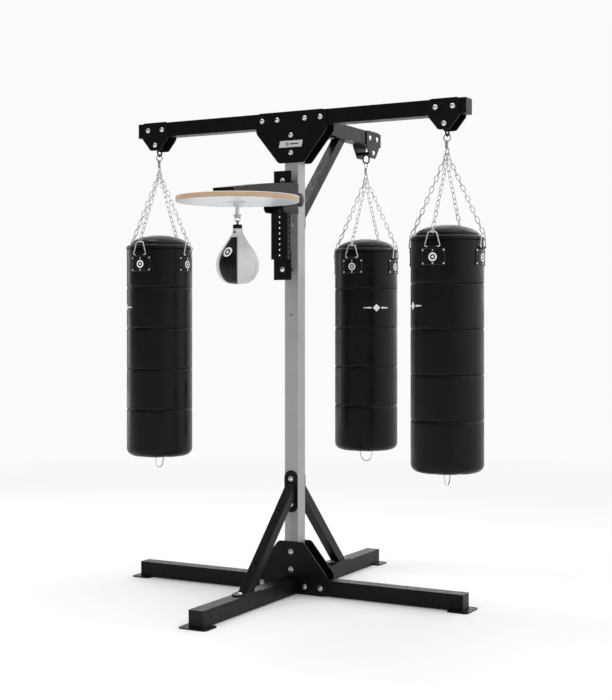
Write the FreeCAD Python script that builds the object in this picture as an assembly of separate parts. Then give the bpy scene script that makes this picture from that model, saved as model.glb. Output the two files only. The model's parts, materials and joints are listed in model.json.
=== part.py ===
import FreeCAD, Part

import math
import os

# ---------------------------------------------------------------- driving dimensions (mm)
# World frame: X along the main beam, +Y towards the rear arm, -Y towards the speed-ball
# station, +Z up. The origin is on the floor under the upright's axis.

# box tubes and plates
TUBE = 76.0
TUBE_WALL = 3.0
PLATE = 6.0
HALF = TUBE / 2
PLATE_FACE = HALF + PLATE

# base
FOOT_THICKNESS = 6.0
FOOT_ACROSS = 150.0
FOOT_ALONG = 110.0
FOOT_OVERHANG = 36.0
FOOT_CORNER = 20.0
ANCHOR_HOLE_R = 5.5
ANCHOR_SPACING = 100.0
ANCHOR_INSET = 18.0
LEG_REACH_X = 940.0
LEG_REACH_Y = 930.0
LEG_BOTTOM = FOOT_THICKNESS
LEG_TOP = LEG_BOTTOM + TUBE
LEG_HOLE_R = 5.0
LEG_HOLE_INSETS = (64.0, 152.0)

# head
BEAM_BOTTOM = 2388.0
BEAM_TOP = BEAM_BOTTOM + TUBE
BEAM_REACH = 956.0
ARM_REACH = 951.0
CAP_LIP = 3.0
CAP_DEPTH = 18.0
CAP_WALL = 4.0
CAP_CLEARANCE = 0.1
CAP_EDGE = 1.5

# gusset plates: a wide band next to the beam that tapers along the upright
GUSSET_HALF_WIDTH = 205.0
GUSSET_TIP_HALF_WIDTH = 73.0
GUSSET_BAND = 104.0
GUSSET_HEIGHT = 264.0
GUSSET_CORNER = 26.0
UPPER_GUSSET_TOP = 2466.0
LOWER_GUSSET_BOTTOM = 1.0
GUSSET_BOLT_X = (80.0, 170.0)
GUSSET_BOLT_ROW = 40.0
GUSSET_CENTRE_BOLTS = (122.0, 212.0)
LABEL_HALF_WIDTH = 66.0
LABEL_HALF_HEIGHT = 17.0
LABEL_LEAN = 4.0
LABEL_THICKNESS = 1.5

# fasteners
BOLT_R = 6.0
BOLT_HOLE_R = 6.5
HEAD_R = 12.0
HEAD_HEIGHT = 7.0
NUT_R = 11.0
NUT_HEIGHT = 10.0
WASHER_R = 13.5
WASHER = 1.5
BOLT_TAIL = 3.0
THREAD_CLEARANCE = 0.05

# diagonal braces
BRACE = 50.0
BRACE_WALL = 3.0
BRACE_PLATE_LENGTH = 214.0
BRACE_BOLT_OFFSET = 65.0
BASE_BRACE_LINE = 574.0
BASE_PLATE_ON_UPRIGHT = 521.0
BASE_PLATE_ON_LEG = 478.0
HEAD_BRACE_LINE = 1892.0
HEAD_PLATE_ON_UPRIGHT = 1950.0
HEAD_PLATE_ON_ARM = 478.0
BRACE_HOLE_R = 7.0
BRACE_HOLE_SHARES = (0.24, 0.76)
TRIM_REACH = 1000.0
UPRIGHT_SPARE_HOLE_Z = 1425.0

# bag hangers
SIDE_STATION_X = 843.0
REAR_STATION_Y = 836.0
HANGER_HALF_WIDTH = 81.0
HANGER_TOP = 2467.0
HANGER_SHOULDER = 2379.0
HANGER_BOTTOM = 2316.0
HANGER_TIP_HALF_WIDTH = 30.0
HANGER_CORNER = 16.0
HANGER_BOLT_OFFSET = 45.0
HANGER_BOLT_Z = 2426.0
PIVOT_Z = 2345.0
SLEEVE_R = 10.0
SLEEVE_HALF_LENGTH = 37.5
RUNNING_CLEARANCE = 0.05
EYE_RADIUS = 18.8
EYE_WIRE = 4.2
EYE_Z = 2307.5

# swivels and chains
LOOP_WIRE = 4.0
LOOP_RADIUS = 17.5
LOOP_TOP_WIRE_Z = EYE_Z - EYE_RADIUS + EYE_WIRE + LOOP_WIRE + 0.2
LOOP_BOTTOM_WIRE_Z = LOOP_TOP_WIRE_Z - 2 * LOOP_RADIUS
SWIVEL_R = 11.0
SWIVEL_TOP = 2262.0
SWIVEL_BOTTOM = 2231.0
SWIVEL_LIP = 6.0
SWIVEL_POCKET = 10.0
SWIVEL_CHAMFER = 3.0
STUD_R = 5.0
STUD_HEAD = 8.0
STUD_GAP = 0.3
STUD_HEAD_CLEARANCE = 0.5
TAIL_TURN = 135.0
CHAIN_LOOP_WIRE = 3.5
CHAIN_LOOP_WIDTH = 46.0
CHAIN_LOOP_TOP = 2224.0
CHAIN_LOOP_BOTTOM = 2198.0
CHAIN_LOOP_CORNER = 6.0
LINK_WIRE = 2.5
LINK_INNER_LENGTH = 28.9
LINK_INNER_WIDTH = 12.4
LINK_END_GAP = 0.6
LINKS = 15
TOP_LINK_SHIFTS = {90: 17.0, 180: 6.0, 0: -6.0, 270: -17.0}

# heavy bags
BAG_R = 177.5
BAG_BOTTOM = 663.0
BAG_WALL_BOTTOM = 711.0
BAG_RIM = 1789.0
BAG_SHOULDER = 20.0
BAG_SHOULDER_Z = 1803.0
BAG_TOP = 1858.0
COVER_THICKNESS = 3.0
FILL_GAP = 0.1
PATCH_GAP = 0.5
PATCH_THICKNESS = 5.0
PATCH_BOTTOM = 1656.0
PATCH_TOP = 1739.0
PATCH_HALF_ANGLE = 19.5
RIVET_ANGLE = 17.0
RIVET_INSET = 10.0
RIVET_HEAD_R = 4.5
RIVET_HEAD_HEIGHT = 2.6
RIVET_HEAD_GAP = 0.15
RIVET_SHANK_R = 2.0
TAB_HALF_WIDTH = 22.0
TAB_R = 6.5
TAB_NECK = 5.0
TAB_BORE_CLEARANCE = 0.3
D_RING_WIRE = 3.0
D_RING_HALF_WIDTH = 40.0
D_RING_FOOT_Z = 1746.0
D_RING_APEX_Z = 1819.0
D_RING_APEX_R = 20.0
D_RING_CORNER = 6.5
D_RING_SHOULDER = (12.0, 6.0)
D_RING_RADIUS = 185.0
BASE_RING_OUTLINE = ((40.0, 655.0), (29.0, 611.0), (12.0, 597.0))
BASE_RING_CORNER = 6.5
BASE_TAB_ROLL_Z = 655.0

# speed-ball station
MOUNT_FACE_Y = -131.0
MOUNT_HALF_WIDTH = 50.0
MOUNT_BOTTOM = 1600.0
MOUNT_TOP = 2152.0
MOUNT_BOLT_Z = (1654.0, 2103.0)
MOUNT_WINDOW_HALF_WIDTH = 32.0
MOUNT_WINDOW_MARGIN = 10.0
SPACER_R = 9.0
RAIL_HALF_WIDTH = 48.0
RAIL_DEPTH = 31.0
RAIL_WALL = 4.0
RAIL_BOTTOM = 1703.0
RAIL_TOP = 2050.0
RAIL_PITCH = 27.5
RAIL_FIRST_HOLE = 1724.0
RAIL_HOLES = 12
RAIL_HOLE_R = 4.5
STEPS_OF_TRAVEL = 8
LOCK_HOLE_R = 6.5
LOCK_HOLE = 10
GLIDE_THICKNESS = 2.9
GLIDE_DEPTH = 6.0
GLIDE_BOTTOM = 1745.0
CARRIAGE_INNER = 51.0
CARRIAGE_OUTER = 57.0
PIN_R = 6.0
PIN_TIP_X = 49.0
PIN_TRAVEL = 10.0
BARREL_R = 12.0
BARREL_END_X = 91.0
KNOB_R = 35.0
KNOB_START_X = 103.0
KNOB_END_X = 120.0
KNOB_CORNER = 5.0
KNOB_HUB_R = 16.0
KNOB_HUB = 3.0
KNOB_CROWN_R = 12.0
KNOB_GRIP_ON_PIN = 8.0
PIN_Y = MOUNT_FACE_Y - RAIL_DEPTH / 2
PIN_Z = RAIL_FIRST_HOLE + LOCK_HOLE * RAIL_PITCH

# speed-ball platform, swivel and ball
PLATFORM_Y = -565.0
PLATFORM_R = 295.0
PLATFORM_BOTTOM = 1961.0
PLATFORM_TOP = 1986.0
ARM_TIP_Y = -694.0
ARM_TIP_TOP = 2020.0
ARM_REAR_Y = -66.0
ARM_REAR_TOP = 2090.0
ARM_BOTTOM = 1936.0
ARM_RIDGE = ((-190.0, 2085.0), (-370.0, 2066.0))
ARM_HEEL = ((-240.0, PLATFORM_TOP), (-221.0, 1966.0), (-221.0, 1952.0), (-205.0, ARM_BOTTOM))
ARM_FLOOR_END_Y = -245.0
ARM_TIP_PLATE = 5.0
FRONT_CROSS = (1996.0, 2076.0)
REAR_CROSS = (1960.0, 2076.0)
FRONT_CROSS_GAP = 0.5
FLANGE_R = 43.5
FLANGE = 5.0
HOUSING_R = 24.0
HOUSING_BOTTOM = 1936.0
SHANK_R = 11.0
SHANK_HEAD_R = 17.0
SHANK_BOTTOM = 1883.0
SHACKLE_PIN_Z = 1896.0
SHACKLE_PIN_R = 3.5
SHACKLE_WIRE = 2.75
SHACKLE_HALF_WIDTH = 14.2
BOW_CENTRE_Z = 1880.2
COLLAR_R = 22.5
COLLAR_TOP = 1853.0
COLLAR_BOTTOM = 1835.0
BALL_LOOP_MAJOR = 7.5
BALL_LOOP_WIRE = 2.5
BALL_LOOP_Z = 1864.0
BALL_R = 103.0
BALL_WIDEST_Z = 1660.0
BALL_BOTTOM = 1568.0
BALL_SKIN = 3.0
FLANGE_SCREW_CIRCLE = 34.0
FLANGE_SCREW_R = 3.0
FLANGE_SCREW_HEAD_R = 5.5
FLANGE_SCREW_TAIL = 8.0
FLANGE_NUT_HEIGHT = 5.0
SCREW_HOLE_R = 3.3
BOARD_SCREW_X = 34.0
BOARD_SCREW_Y = (-330.0, -670.0)
BOARD_SCREW_R = 2.5
BOARD_SCREW_HEAD_R = 5.0
BOARD_SCREW_DEPTH = 16.0
BOARD_PILOT_DEPTH = 18.0

X_AXIS = FreeCAD.Vector(1, 0, 0)
Y_AXIS = FreeCAD.Vector(0, 1, 0)
Z_AXIS = FreeCAD.Vector(0, 0, 1)
ORIGIN = FreeCAD.Vector(0, 0, 0)


# ---------------------------------------------------------------- helpers
def vec(x, y, z):
    return FreeCAD.Vector(x, y, z)


def box(low, high):
    """A block between two opposite corners."""
    size = [b - a for a, b in zip(low, high)]
    return Part.makeBox(size[0], size[1], size[2], vec(*low))


def rod(start, direction, length, radius):
    return Part.makeCylinder(radius, length, start, direction)


def save(node, shape):
    """Write one node: a solid, or a list of separate solids."""
    if isinstance(shape, list):
        shape = Part.makeCompound(shape)
    shape.exportStep("parts/" + node + ".step")


def turned(shape, angle, centre=ORIGIN):
    """A copy turned about a vertical line through the centre, then moved to that centre."""
    result = shape.copy()
    result.rotate(ORIGIN, Z_AXIS, angle)
    result.translate(centre)
    return result


def place(shape, position, direction):
    """A copy of a shape made along +Z, moved to a position and pointed along a direction."""
    result = shape.copy()
    result.Placement = FreeCAD.Placement(position, FreeCAD.Rotation(Z_AXIS, direction))
    return result


def tube_along(axis, start, end, centre, width=TUBE, wall=TUBE_WALL):
    """A square box tube between two stations on an axis; centre gives its other two coordinates."""
    shapes = []
    for half in (width / 2, width / 2 - wall):
        low = [c - half for c in centre]
        high = [c + half for c in centre]
        low.insert(axis, min(start, end))
        high.insert(axis, max(start, end))
        shapes.append(box(low, high))
    return shapes[0].cut(shapes[1])


def rounded_polygon(corners, radius):
    """A closed wire through the corners (2-D points), each rounded by an arc."""
    points = [vec(x, y, 0) for x, y in corners]
    edges = []
    count = len(points)
    spans = []
    for i, corner in enumerate(points):
        before = (points[i - 1] - corner).normalize()
        after = (points[(i + 1) % count] - corner).normalize()
        half_angle = before.getAngle(after) / 2
        reach = radius / math.tan(half_angle)
        middle = (before + after).normalize() * (radius / math.sin(half_angle) - radius)
        spans.append((corner + before * reach, corner + middle, corner + after * reach))
    for i in range(count):
        start, middle, end = spans[i]
        edges.append(Part.Arc(start, middle, end).toShape())
        edges.append(Part.LineSegment(end, spans[(i + 1) % count][0]).toShape())
    return Part.Wire(edges)


def plate_xz(corners, radius, y_start, thickness):
    """A plate with a rounded outline drawn in X and Z, from y_start towards +Y."""
    solid = Part.Face(rounded_polygon(corners, radius)).extrude(Z_AXIS * thickness)
    solid.rotate(ORIGIN, X_AXIS, 90)
    solid.translate(Y_AXIS * (y_start + thickness))
    return solid


def wire_loop(path, radius):
    """Round wire of the given radius swept along a closed path."""
    edge = path.Edges[0]
    start = edge.valueAt(edge.FirstParameter)
    tangent = edge.tangentAt(edge.FirstParameter)
    section = Part.Wire(Part.makeCircle(radius, start, tangent))
    return path.makePipeShell([section], True, False)


def upright_loop(corners, radius, wire):
    """A closed wire loop drawn in X and Z, standing in the plane Y = 0."""
    path = rounded_polygon(corners, radius)
    path.rotate(ORIGIN, X_AXIS, 90)
    return wire_loop(path, wire)


def revolve(edges):
    """Turn a closed outline in X and Z about the Z axis."""
    face = Part.Face(Part.Wire(edges))
    return face.revolve(ORIGIN, Z_AXIS, 360)


def polyline(points):
    """Straight edges through points given as (radius, height)."""
    nodes = [vec(r, 0, z) for r, z in points]
    return [Part.LineSegment(a, b).toShape() for a, b in zip(nodes, nodes[1:])]


def arc(a, b, c):
    """An arc through three points given as (radius, height)."""
    return Part.Arc(vec(a[0], 0, a[1]), vec(b[0], 0, b[1]), vec(c[0], 0, c[1])).toShape()


def cap_arc(radius, edge_z, apex_z):
    """The outline of a spherical cap, from its rim to its apex on the axis."""
    rise = apex_z - edge_z
    sphere = (radius * radius + rise * rise) / (2 * rise)
    centre = apex_z - sphere
    half_angle = math.atan2(radius, edge_z - centre) / 2
    if sphere < 0:
        half_angle = math.atan2(radius, centre - edge_z) / 2
    middle = (abs(sphere) * math.sin(half_angle), centre + sphere * math.cos(half_angle))
    return arc((radius, edge_z), middle, (0, apex_z))


def domed_bolt(grip, radius=BOLT_R, head=HEAD_R):
    """A dome-headed bolt whose shank runs along +Z from the head's seat at Z = 0."""
    height = HEAD_HEIGHT * head / HEAD_R
    flange = height * 0.25
    outline = polyline([(0, -height), (0, grip), (radius, grip), (radius, 0), (head, 0), (head, -flange)])
    outline.append(cap_arc(head, -flange, -height))
    return revolve(outline)


def hex_nut(radius=BOLT_R, across=NUT_R, height=NUT_HEIGHT):
    """A hexagon nut standing on Z = 0."""
    corners = [vec(across * math.cos(a), across * math.sin(a), 0) for a in hexagon_angles()]
    blank = Part.Face(Part.makePolygon(corners)).extrude(Z_AXIS * height)
    return blank.cut(rod(ORIGIN, Z_AXIS, height, radius + THREAD_CLEARANCE))


def hexagon_angles():
    return [math.radians(60 * i) for i in range(7)]


def washer(radius=BOLT_R, outer=WASHER_R):
    disc = rod(ORIGIN, Z_AXIS, WASHER, outer)
    return disc.cut(rod(ORIGIN, Z_AXIS, WASHER, radius + BOLT_HOLE_R - BOLT_R))


def bolt_set(seat, direction, grip):
    """Bolt, two washers and a nut clamping material of thickness grip that starts at seat."""
    length = grip + 2 * WASHER + NUT_HEIGHT + BOLT_TAIL
    pieces = [place(domed_bolt(length), seat - direction * WASHER, direction)]
    pieces.append(place(washer(), seat - direction * WASHER, direction))
    pieces.append(place(washer(), seat + direction * grip, direction))
    pieces.append(place(hex_nut(), seat + direction * (grip + WASHER), direction))
    return pieces


def drill(shape, seat, direction, depth, radius=BOLT_HOLE_R):
    """Cut a round hole that starts just before seat."""
    return shape.cut(rod(seat - direction, direction, depth + 2, radius))


# ---------------------------------------------------------------- stand frame
def gusset_outline(wide_end, tip_end):
    """Outline of a gusset whose wide band is at wide_end and whose tip is at tip_end."""
    step = 1 if tip_end > wide_end else -1
    shoulder = wide_end + step * GUSSET_BAND
    return [
        (-GUSSET_HALF_WIDTH, wide_end),
        (GUSSET_HALF_WIDTH, wide_end),
        (GUSSET_HALF_WIDTH, shoulder),
        (GUSSET_TIP_HALF_WIDTH, tip_end),
        (-GUSSET_TIP_HALF_WIDTH, tip_end),
        (-GUSSET_HALF_WIDTH, shoulder),
    ]


def gusset_bolt_points(wide_end, step):
    """Where the six bolts of one gusset pair cross the plane Y = 0."""
    row = wide_end + step * GUSSET_BOLT_ROW
    points = [vec(sign * x, 0, row) for sign in (-1, 1) for x in GUSSET_BOLT_X]
    points += [vec(0, 0, wide_end + step * z) for z in GUSSET_CENTRE_BOLTS]
    return points


UPPER_BOLTS = gusset_bolt_points(UPPER_GUSSET_TOP, -1)
LOWER_BOLTS = gusset_bolt_points(LOWER_GUSSET_BOTTOM, 1)
BASE_BRACE_BOLT_Z = [BASE_PLATE_ON_UPRIGHT + s * BRACE_BOLT_OFFSET for s in (-1, 1)]
HEAD_BRACE_BOLT_Z = [HEAD_PLATE_ON_UPRIGHT + s * BRACE_BOLT_OFFSET for s in (-1, 1)]
THROUGH_Y = 2 * PLATE_FACE


def hanger_bolt_points(centre, along):
    """Where the three bolts of one hanger cross its beam's middle plane."""
    points = [centre + along * (s * HANGER_BOLT_OFFSET) + Z_AXIS * HANGER_BOLT_Z for s in (-1, 1)]
    return points + [centre + Z_AXIS * PIVOT_Z]


def drill_across(shape, points, direction, radius=BOLT_HOLE_R):
    """Drill a tube or a plate pair from side to side at each point."""
    for point in points:
        shape = drill(shape, point - direction * PLATE_FACE, direction, THROUGH_Y, radius)
    return shape


SIDES = (0, 90, 180, 270)
STATIONS = {
    "left": (vec(-SIDE_STATION_X, 0, 0), X_AXIS, Y_AXIS),
    "right": (vec(SIDE_STATION_X, 0, 0), X_AXIS, Y_AXIS),
    "rear": (vec(0, REAR_STATION_Y, 0), Y_AXIS, X_AXIS * -1),
}


def make_upright():
    shape = tube_along(2, LEG_TOP, BEAM_BOTTOM, (0, 0))
    heights = list(MOUNT_BOLT_Z) + BASE_BRACE_BOLT_Z + HEAD_BRACE_BOLT_Z
    centre_bolts = [p for p in UPPER_BOLTS + LOWER_BOLTS if p.x == 0]
    shape = drill_across(shape, centre_bolts + [vec(0, 0, z) for z in heights], Y_AXIS)
    spare_hole = vec(0, -HALF, UPRIGHT_SPARE_HOLE_Z)
    return drill(shape, spare_hole, Y_AXIS, TUBE_WALL, LEG_HOLE_R)


def make_main_beam():
    end = BEAM_REACH - CAP_LIP
    shape = tube_along(0, -end, end, (0, BEAM_BOTTOM + HALF))
    points = [p for p in UPPER_BOLTS if p.x != 0]
    for name in ("left", "right"):
        centre, along, _ = STATIONS[name]
        points += hanger_bolt_points(centre, along)[:2]
    return drill_across(shape, points, Y_AXIS)


def make_base_beam():
    end = LEG_REACH_X - CAP_LIP
    shape = tube_along(0, -end, end, (0, LEG_BOTTOM + HALF))
    shape = drill_across(shape, [p for p in LOWER_BOLTS if p.x != 0], Y_AXIS)
    spare = [s * (LEG_REACH_X - inset) for s in (-1, 1) for inset in LEG_HOLE_INSETS]
    return drill_across(shape, [vec(x, 0, LEG_BOTTOM + HALF) for x in spare], Y_AXIS, LEG_HOLE_R)


def make_leg(side):
    """Front (side -1) or rear (side 1) leg, butted against the lower gusset plate."""
    shape = tube_along(1, side * PLATE_FACE, side * (LEG_REACH_Y - CAP_LIP), (0, LEG_BOTTOM + HALF))
    points = [vec(0, side * (LEG_REACH_Y - inset), LEG_BOTTOM + HALF) for inset in LEG_HOLE_INSETS]
    shape = drill_across(shape, points, X_AXIS, LEG_HOLE_R)
    for offset in (-BRACE_BOLT_OFFSET, BRACE_BOLT_OFFSET):
        top = vec(0, side * (BASE_PLATE_ON_LEG + offset), LEG_TOP)
        shape = drill(shape, top, Z_AXIS * -1, TUBE_WALL)
    return shape


def make_rear_arm():
    shape = tube_along(1, PLATE_FACE, ARM_REACH - CAP_LIP, (0, BEAM_BOTTOM + HALF))
    centre, along, across = STATIONS["rear"]
    shape = drill_across(shape, hanger_bolt_points(centre, along)[:2], across)
    for offset in (-BRACE_BOLT_OFFSET, BRACE_BOLT_OFFSET):
        shape = drill(shape, vec(0, HEAD_PLATE_ON_ARM + offset, BEAM_BOTTOM), Z_AXIS, TUBE_WALL)
    return shape


def make_gussets(wide_end, tip_end, points):
    plates = []
    for y_start in (-PLATE_FACE, HALF):
        plate = plate_xz(gusset_outline(wide_end, tip_end), GUSSET_CORNER, y_start, PLATE)
        plates.append(drill_across(plate, points, Y_AXIS))
    return plates


def make_foot():
    """One foot plate, pointing along +X, with its leg ending at X = 0."""
    outer = FOOT_OVERHANG
    inner = FOOT_OVERHANG - FOOT_ALONG
    half = FOOT_ACROSS / 2
    corners = [(inner, -half), (outer, -half), (outer, half), (inner, half)]
    shape = Part.Face(rounded_polygon(corners, FOOT_CORNER)).extrude(Z_AXIS * FOOT_THICKNESS)
    for side in (-1, 1):
        hole = vec(outer - ANCHOR_INSET, side * ANCHOR_SPACING / 2, 0)
        shape = drill(shape, hole, Z_AXIS, FOOT_THICKNESS, ANCHOR_HOLE_R)
    return shape


def make_end_cap():
    """A plastic plug for a tube that ends at X = 0; the tube's mouth is at X = -CAP_LIP."""
    outer = HALF - TUBE_WALL - CAP_CLEARANCE
    inner = outer - CAP_WALL
    lip = box((-CAP_LIP, -HALF, -HALF), (0, HALF, HALF))
    plug = box((-CAP_LIP - CAP_DEPTH, -outer, -outer), (-CAP_LIP, outer, outer))
    hollow = box((-CAP_LIP - CAP_DEPTH, -inner, -inner), (-CAP_LIP, inner, inner))
    outer_edges = [e for e in lip.Edges if e.BoundBox.XMin > -CAP_LIP / 2]
    return lip.makeFillet(CAP_EDGE, outer_edges).fuse(plug.cut(hollow))


LEG_ENDS = (
    (0, vec(LEG_REACH_X, 0, 0)),
    (180, vec(-LEG_REACH_X, 0, 0)),
    (90, vec(0, LEG_REACH_Y, 0)),
    (-90, vec(0, -LEG_REACH_Y, 0)),
)
HEAD_ENDS = (
    (0, vec(BEAM_REACH, 0, 0)),
    (180, vec(-BEAM_REACH, 0, 0)),
    (90, vec(0, ARM_REACH, 0)),
)


def make_label():
    """A blank slanted plaque between the two centre bolts of the upper front gusset."""
    middle = UPPER_GUSSET_TOP - sum(GUSSET_CENTRE_BOLTS) / 2
    low = middle - LABEL_HALF_HEIGHT
    high = middle + LABEL_HALF_HEIGHT
    corners = [
        (-LABEL_HALF_WIDTH - LABEL_LEAN, low),
        (LABEL_HALF_WIDTH - LABEL_LEAN, low),
        (LABEL_HALF_WIDTH + LABEL_LEAN, high),
        (-LABEL_HALF_WIDTH + LABEL_LEAN, high),
    ]
    return plate_xz(corners, LABEL_THICKNESS, -PLATE_FACE - LABEL_THICKNESS, LABEL_THICKNESS)


def brace_plate():
    """A brace's end plate in X and Z with full-round ends, centred on the origin, in front of Y = 0."""
    half = BRACE_PLATE_LENGTH / 2
    corners = [(-HALF, -half), (HALF, -half), (HALF, half), (-HALF, half)]
    plate = plate_xz(corners, HALF - 0.5, -PLATE, PLATE)
    for offset in (-BRACE_BOLT_OFFSET, BRACE_BOLT_OFFSET):
        plate = drill(plate, vec(0, -PLATE, offset), Y_AXIS, PLATE)
    return plate


def diagonal_tube(start, end):
    """A 45 degree box tube whose centreline runs from start to end in the plane X = 0."""
    run = end - start
    shapes = []
    for half in (BRACE / 2, BRACE / 2 - BRACE_WALL):
        bar = box((-half, -half, -BRACE), (half, half, run.Length + BRACE))
        bar.Placement = FreeCAD.Placement(start, FreeCAD.Rotation(X_AXIS, Y_AXIS, run, "ZXY"))
        shapes.append(bar)
    return shapes[0].cut(shapes[1])


def make_base_brace(side):
    """The front brace (side -1) from the upright's face to the leg's top; the rear one mirrors it."""
    upper = vec(0, -PLATE_FACE, BASE_BRACE_LINE - PLATE_FACE)
    lower = vec(0, -(BASE_BRACE_LINE - LEG_TOP - PLATE), LEG_TOP + PLATE)
    bar = diagonal_tube(lower, upper)
    room = box((-TUBE, -TRIM_REACH, LEG_TOP + PLATE), (TUBE, -PLATE_FACE, TRIM_REACH))
    bar = bar.common(room)
    inward = vec(0, 1, -1).normalize()
    face_offset = vec(0, -1, 1).normalize() * (BRACE / 2)
    for share in BRACE_HOLE_SHARES:
        centre = lower + (upper - lower) * share + face_offset
        bar = drill(bar, centre, inward, BRACE_WALL, BRACE_HOLE_R)
    top_plate = brace_plate()
    top_plate.translate(vec(0, -HALF, BASE_PLATE_ON_UPRIGHT))
    foot_plate = brace_plate()
    foot_plate.rotate(ORIGIN, X_AXIS, -90)
    foot_plate.translate(vec(0, -BASE_PLATE_ON_LEG, LEG_TOP))
    shape = bar.fuse([top_plate, foot_plate])
    if side > 0:
        shape = shape.mirror(ORIGIN, Y_AXIS)
    return shape


def make_head_brace():
    """The diagonal under the rear arm."""
    lower = vec(0, PLATE_FACE, HEAD_BRACE_LINE + PLATE_FACE)
    upper = vec(0, BEAM_BOTTOM - PLATE - HEAD_BRACE_LINE, BEAM_BOTTOM - PLATE)
    bar = diagonal_tube(lower, upper)
    bar = bar.common(box((-TUBE, PLATE_FACE, TRIM_REACH), (TUBE, TRIM_REACH, BEAM_BOTTOM - PLATE)))
    low_plate = brace_plate()
    low_plate.translate(vec(0, PLATE_FACE, HEAD_PLATE_ON_UPRIGHT))
    high_plate = brace_plate()
    high_plate.rotate(ORIGIN, X_AXIS, 90)
    high_plate.translate(vec(0, HEAD_PLATE_ON_ARM, BEAM_BOTTOM))
    return bar.fuse([low_plate, high_plate])


def short_bolt(seat, direction):
    """A bolt through a brace plate and one tube wall, with its nut inside the tube."""
    grip = PLATE + TUBE_WALL
    bolt = place(domed_bolt(grip + NUT_HEIGHT + BOLT_TAIL), seat, direction)
    return [bolt, place(hex_nut(), seat + direction * grip, direction)]


def make_brace_bolts():
    pieces = []
    for z in BASE_BRACE_BOLT_Z:
        pieces += bolt_set(vec(0, -PLATE_FACE, z), Y_AXIS, THROUGH_Y)
    for z in HEAD_BRACE_BOLT_Z:
        pieces += bolt_set(vec(0, PLATE_FACE, z), Y_AXIS * -1, HALF + PLATE_FACE)
    for offset in (-BRACE_BOLT_OFFSET, BRACE_BOLT_OFFSET):
        for side in (-1, 1):
            seat = vec(0, side * (BASE_PLATE_ON_LEG + offset), LEG_TOP + PLATE)
            pieces += short_bolt(seat, Z_AXIS * -1)
        pieces += short_bolt(vec(0, HEAD_PLATE_ON_ARM + offset, BEAM_BOTTOM - PLATE), Z_AXIS)
    return pieces


def make_gusset_bolts():
    pieces = []
    for point in UPPER_BOLTS + LOWER_BOLTS:
        pieces += bolt_set(point - Y_AXIS * PLATE_FACE, Y_AXIS, THROUGH_Y)
    return pieces


def make_hanger_plates():
    corners = [
        (-HANGER_HALF_WIDTH, HANGER_TOP),
        (HANGER_HALF_WIDTH, HANGER_TOP),
        (HANGER_HALF_WIDTH, HANGER_SHOULDER),
        (HANGER_TIP_HALF_WIDTH, HANGER_BOTTOM),
        (-HANGER_TIP_HALF_WIDTH, HANGER_BOTTOM),
        (-HANGER_HALF_WIDTH, HANGER_SHOULDER),
    ]
    pair = []
    for y_start in (-PLATE_FACE, HALF):
        plate = plate_xz(corners, HANGER_CORNER, y_start, PLATE)
        pair.append(drill_across(plate, hanger_bolt_points(ORIGIN, X_AXIS), Y_AXIS))
    plates = []
    for centre, along, _ in STATIONS.values():
        angle = 90 if along == Y_AXIS else 0
        plates += [turned(plate, angle, centre) for plate in pair]
    return plates


def make_hanger_bolts():
    pieces = []
    for centre, along, across in STATIONS.values():
        for point in hanger_bolt_points(centre, along):
            pieces += bolt_set(point - across * PLATE_FACE, across, THROUGH_Y)
    return pieces


# ---------------------------------------------------------------- one bag station
# Made about the Z axis with the beam along X. The eye and the swivel's head turn with their
# beam; everything below the swivel hangs the same way at each station.
def make_eye():
    """Sleeve that turns on the pivot bolt, with a round-bottomed loop welded under it."""
    sleeve = rod(vec(0, -SLEEVE_HALF_LENGTH, PIVOT_Z), Y_AXIS, 2 * SLEEVE_HALF_LENGTH, SLEEVE_R)
    reach = EYE_RADIUS
    low = EYE_Z - reach
    high = PIVOT_Z - SLEEVE_R + 2
    corners = [(-reach, low), (reach, low), (reach, high), (-reach, high)]
    ring = upright_loop(corners, reach - 0.1, EYE_WIRE)
    ring.rotate(ORIGIN, Z_AXIS, 90)
    shape = sleeve.fuse(ring)
    bore = rod(vec(0, -HALF, PIVOT_Z), Y_AXIS, TUBE, BOLT_R + RUNNING_CLEARANCE)
    return shape.cut(bore)


def make_swivel_head():
    """Upper half of the swivel: a long loop through the eye, on a round housing."""
    reach = LOOP_RADIUS
    corners = [
        (-reach, LOOP_BOTTOM_WIRE_Z),
        (reach, LOOP_BOTTOM_WIRE_Z),
        (reach, LOOP_TOP_WIRE_Z),
        (-reach, LOOP_TOP_WIRE_Z),
    ]
    loop = upright_loop(corners, reach - 0.1, LOOP_WIRE)
    seat = SWIVEL_BOTTOM + SWIVEL_LIP
    roof = seat + SWIVEL_POCKET
    pocket_r = SWIVEL_R - SWIVEL_CHAMFER
    mouth_r = STUD_R + RUNNING_CLEARANCE
    housing = revolve(polyline([
        (0, roof), (pocket_r, roof), (pocket_r, seat), (mouth_r, seat), (mouth_r, SWIVEL_BOTTOM),
        (SWIVEL_R, SWIVEL_BOTTOM), (SWIVEL_R, SWIVEL_TOP - SWIVEL_CHAMFER), (pocket_r, SWIVEL_TOP),
        (0, SWIVEL_TOP), (0, roof),
    ]))
    keep_clear = rod(vec(0, 0, SWIVEL_BOTTOM), Z_AXIS, roof - SWIVEL_BOTTOM, SWIVEL_R)
    return housing.fuse(loop.cut(keep_clear))


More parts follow.
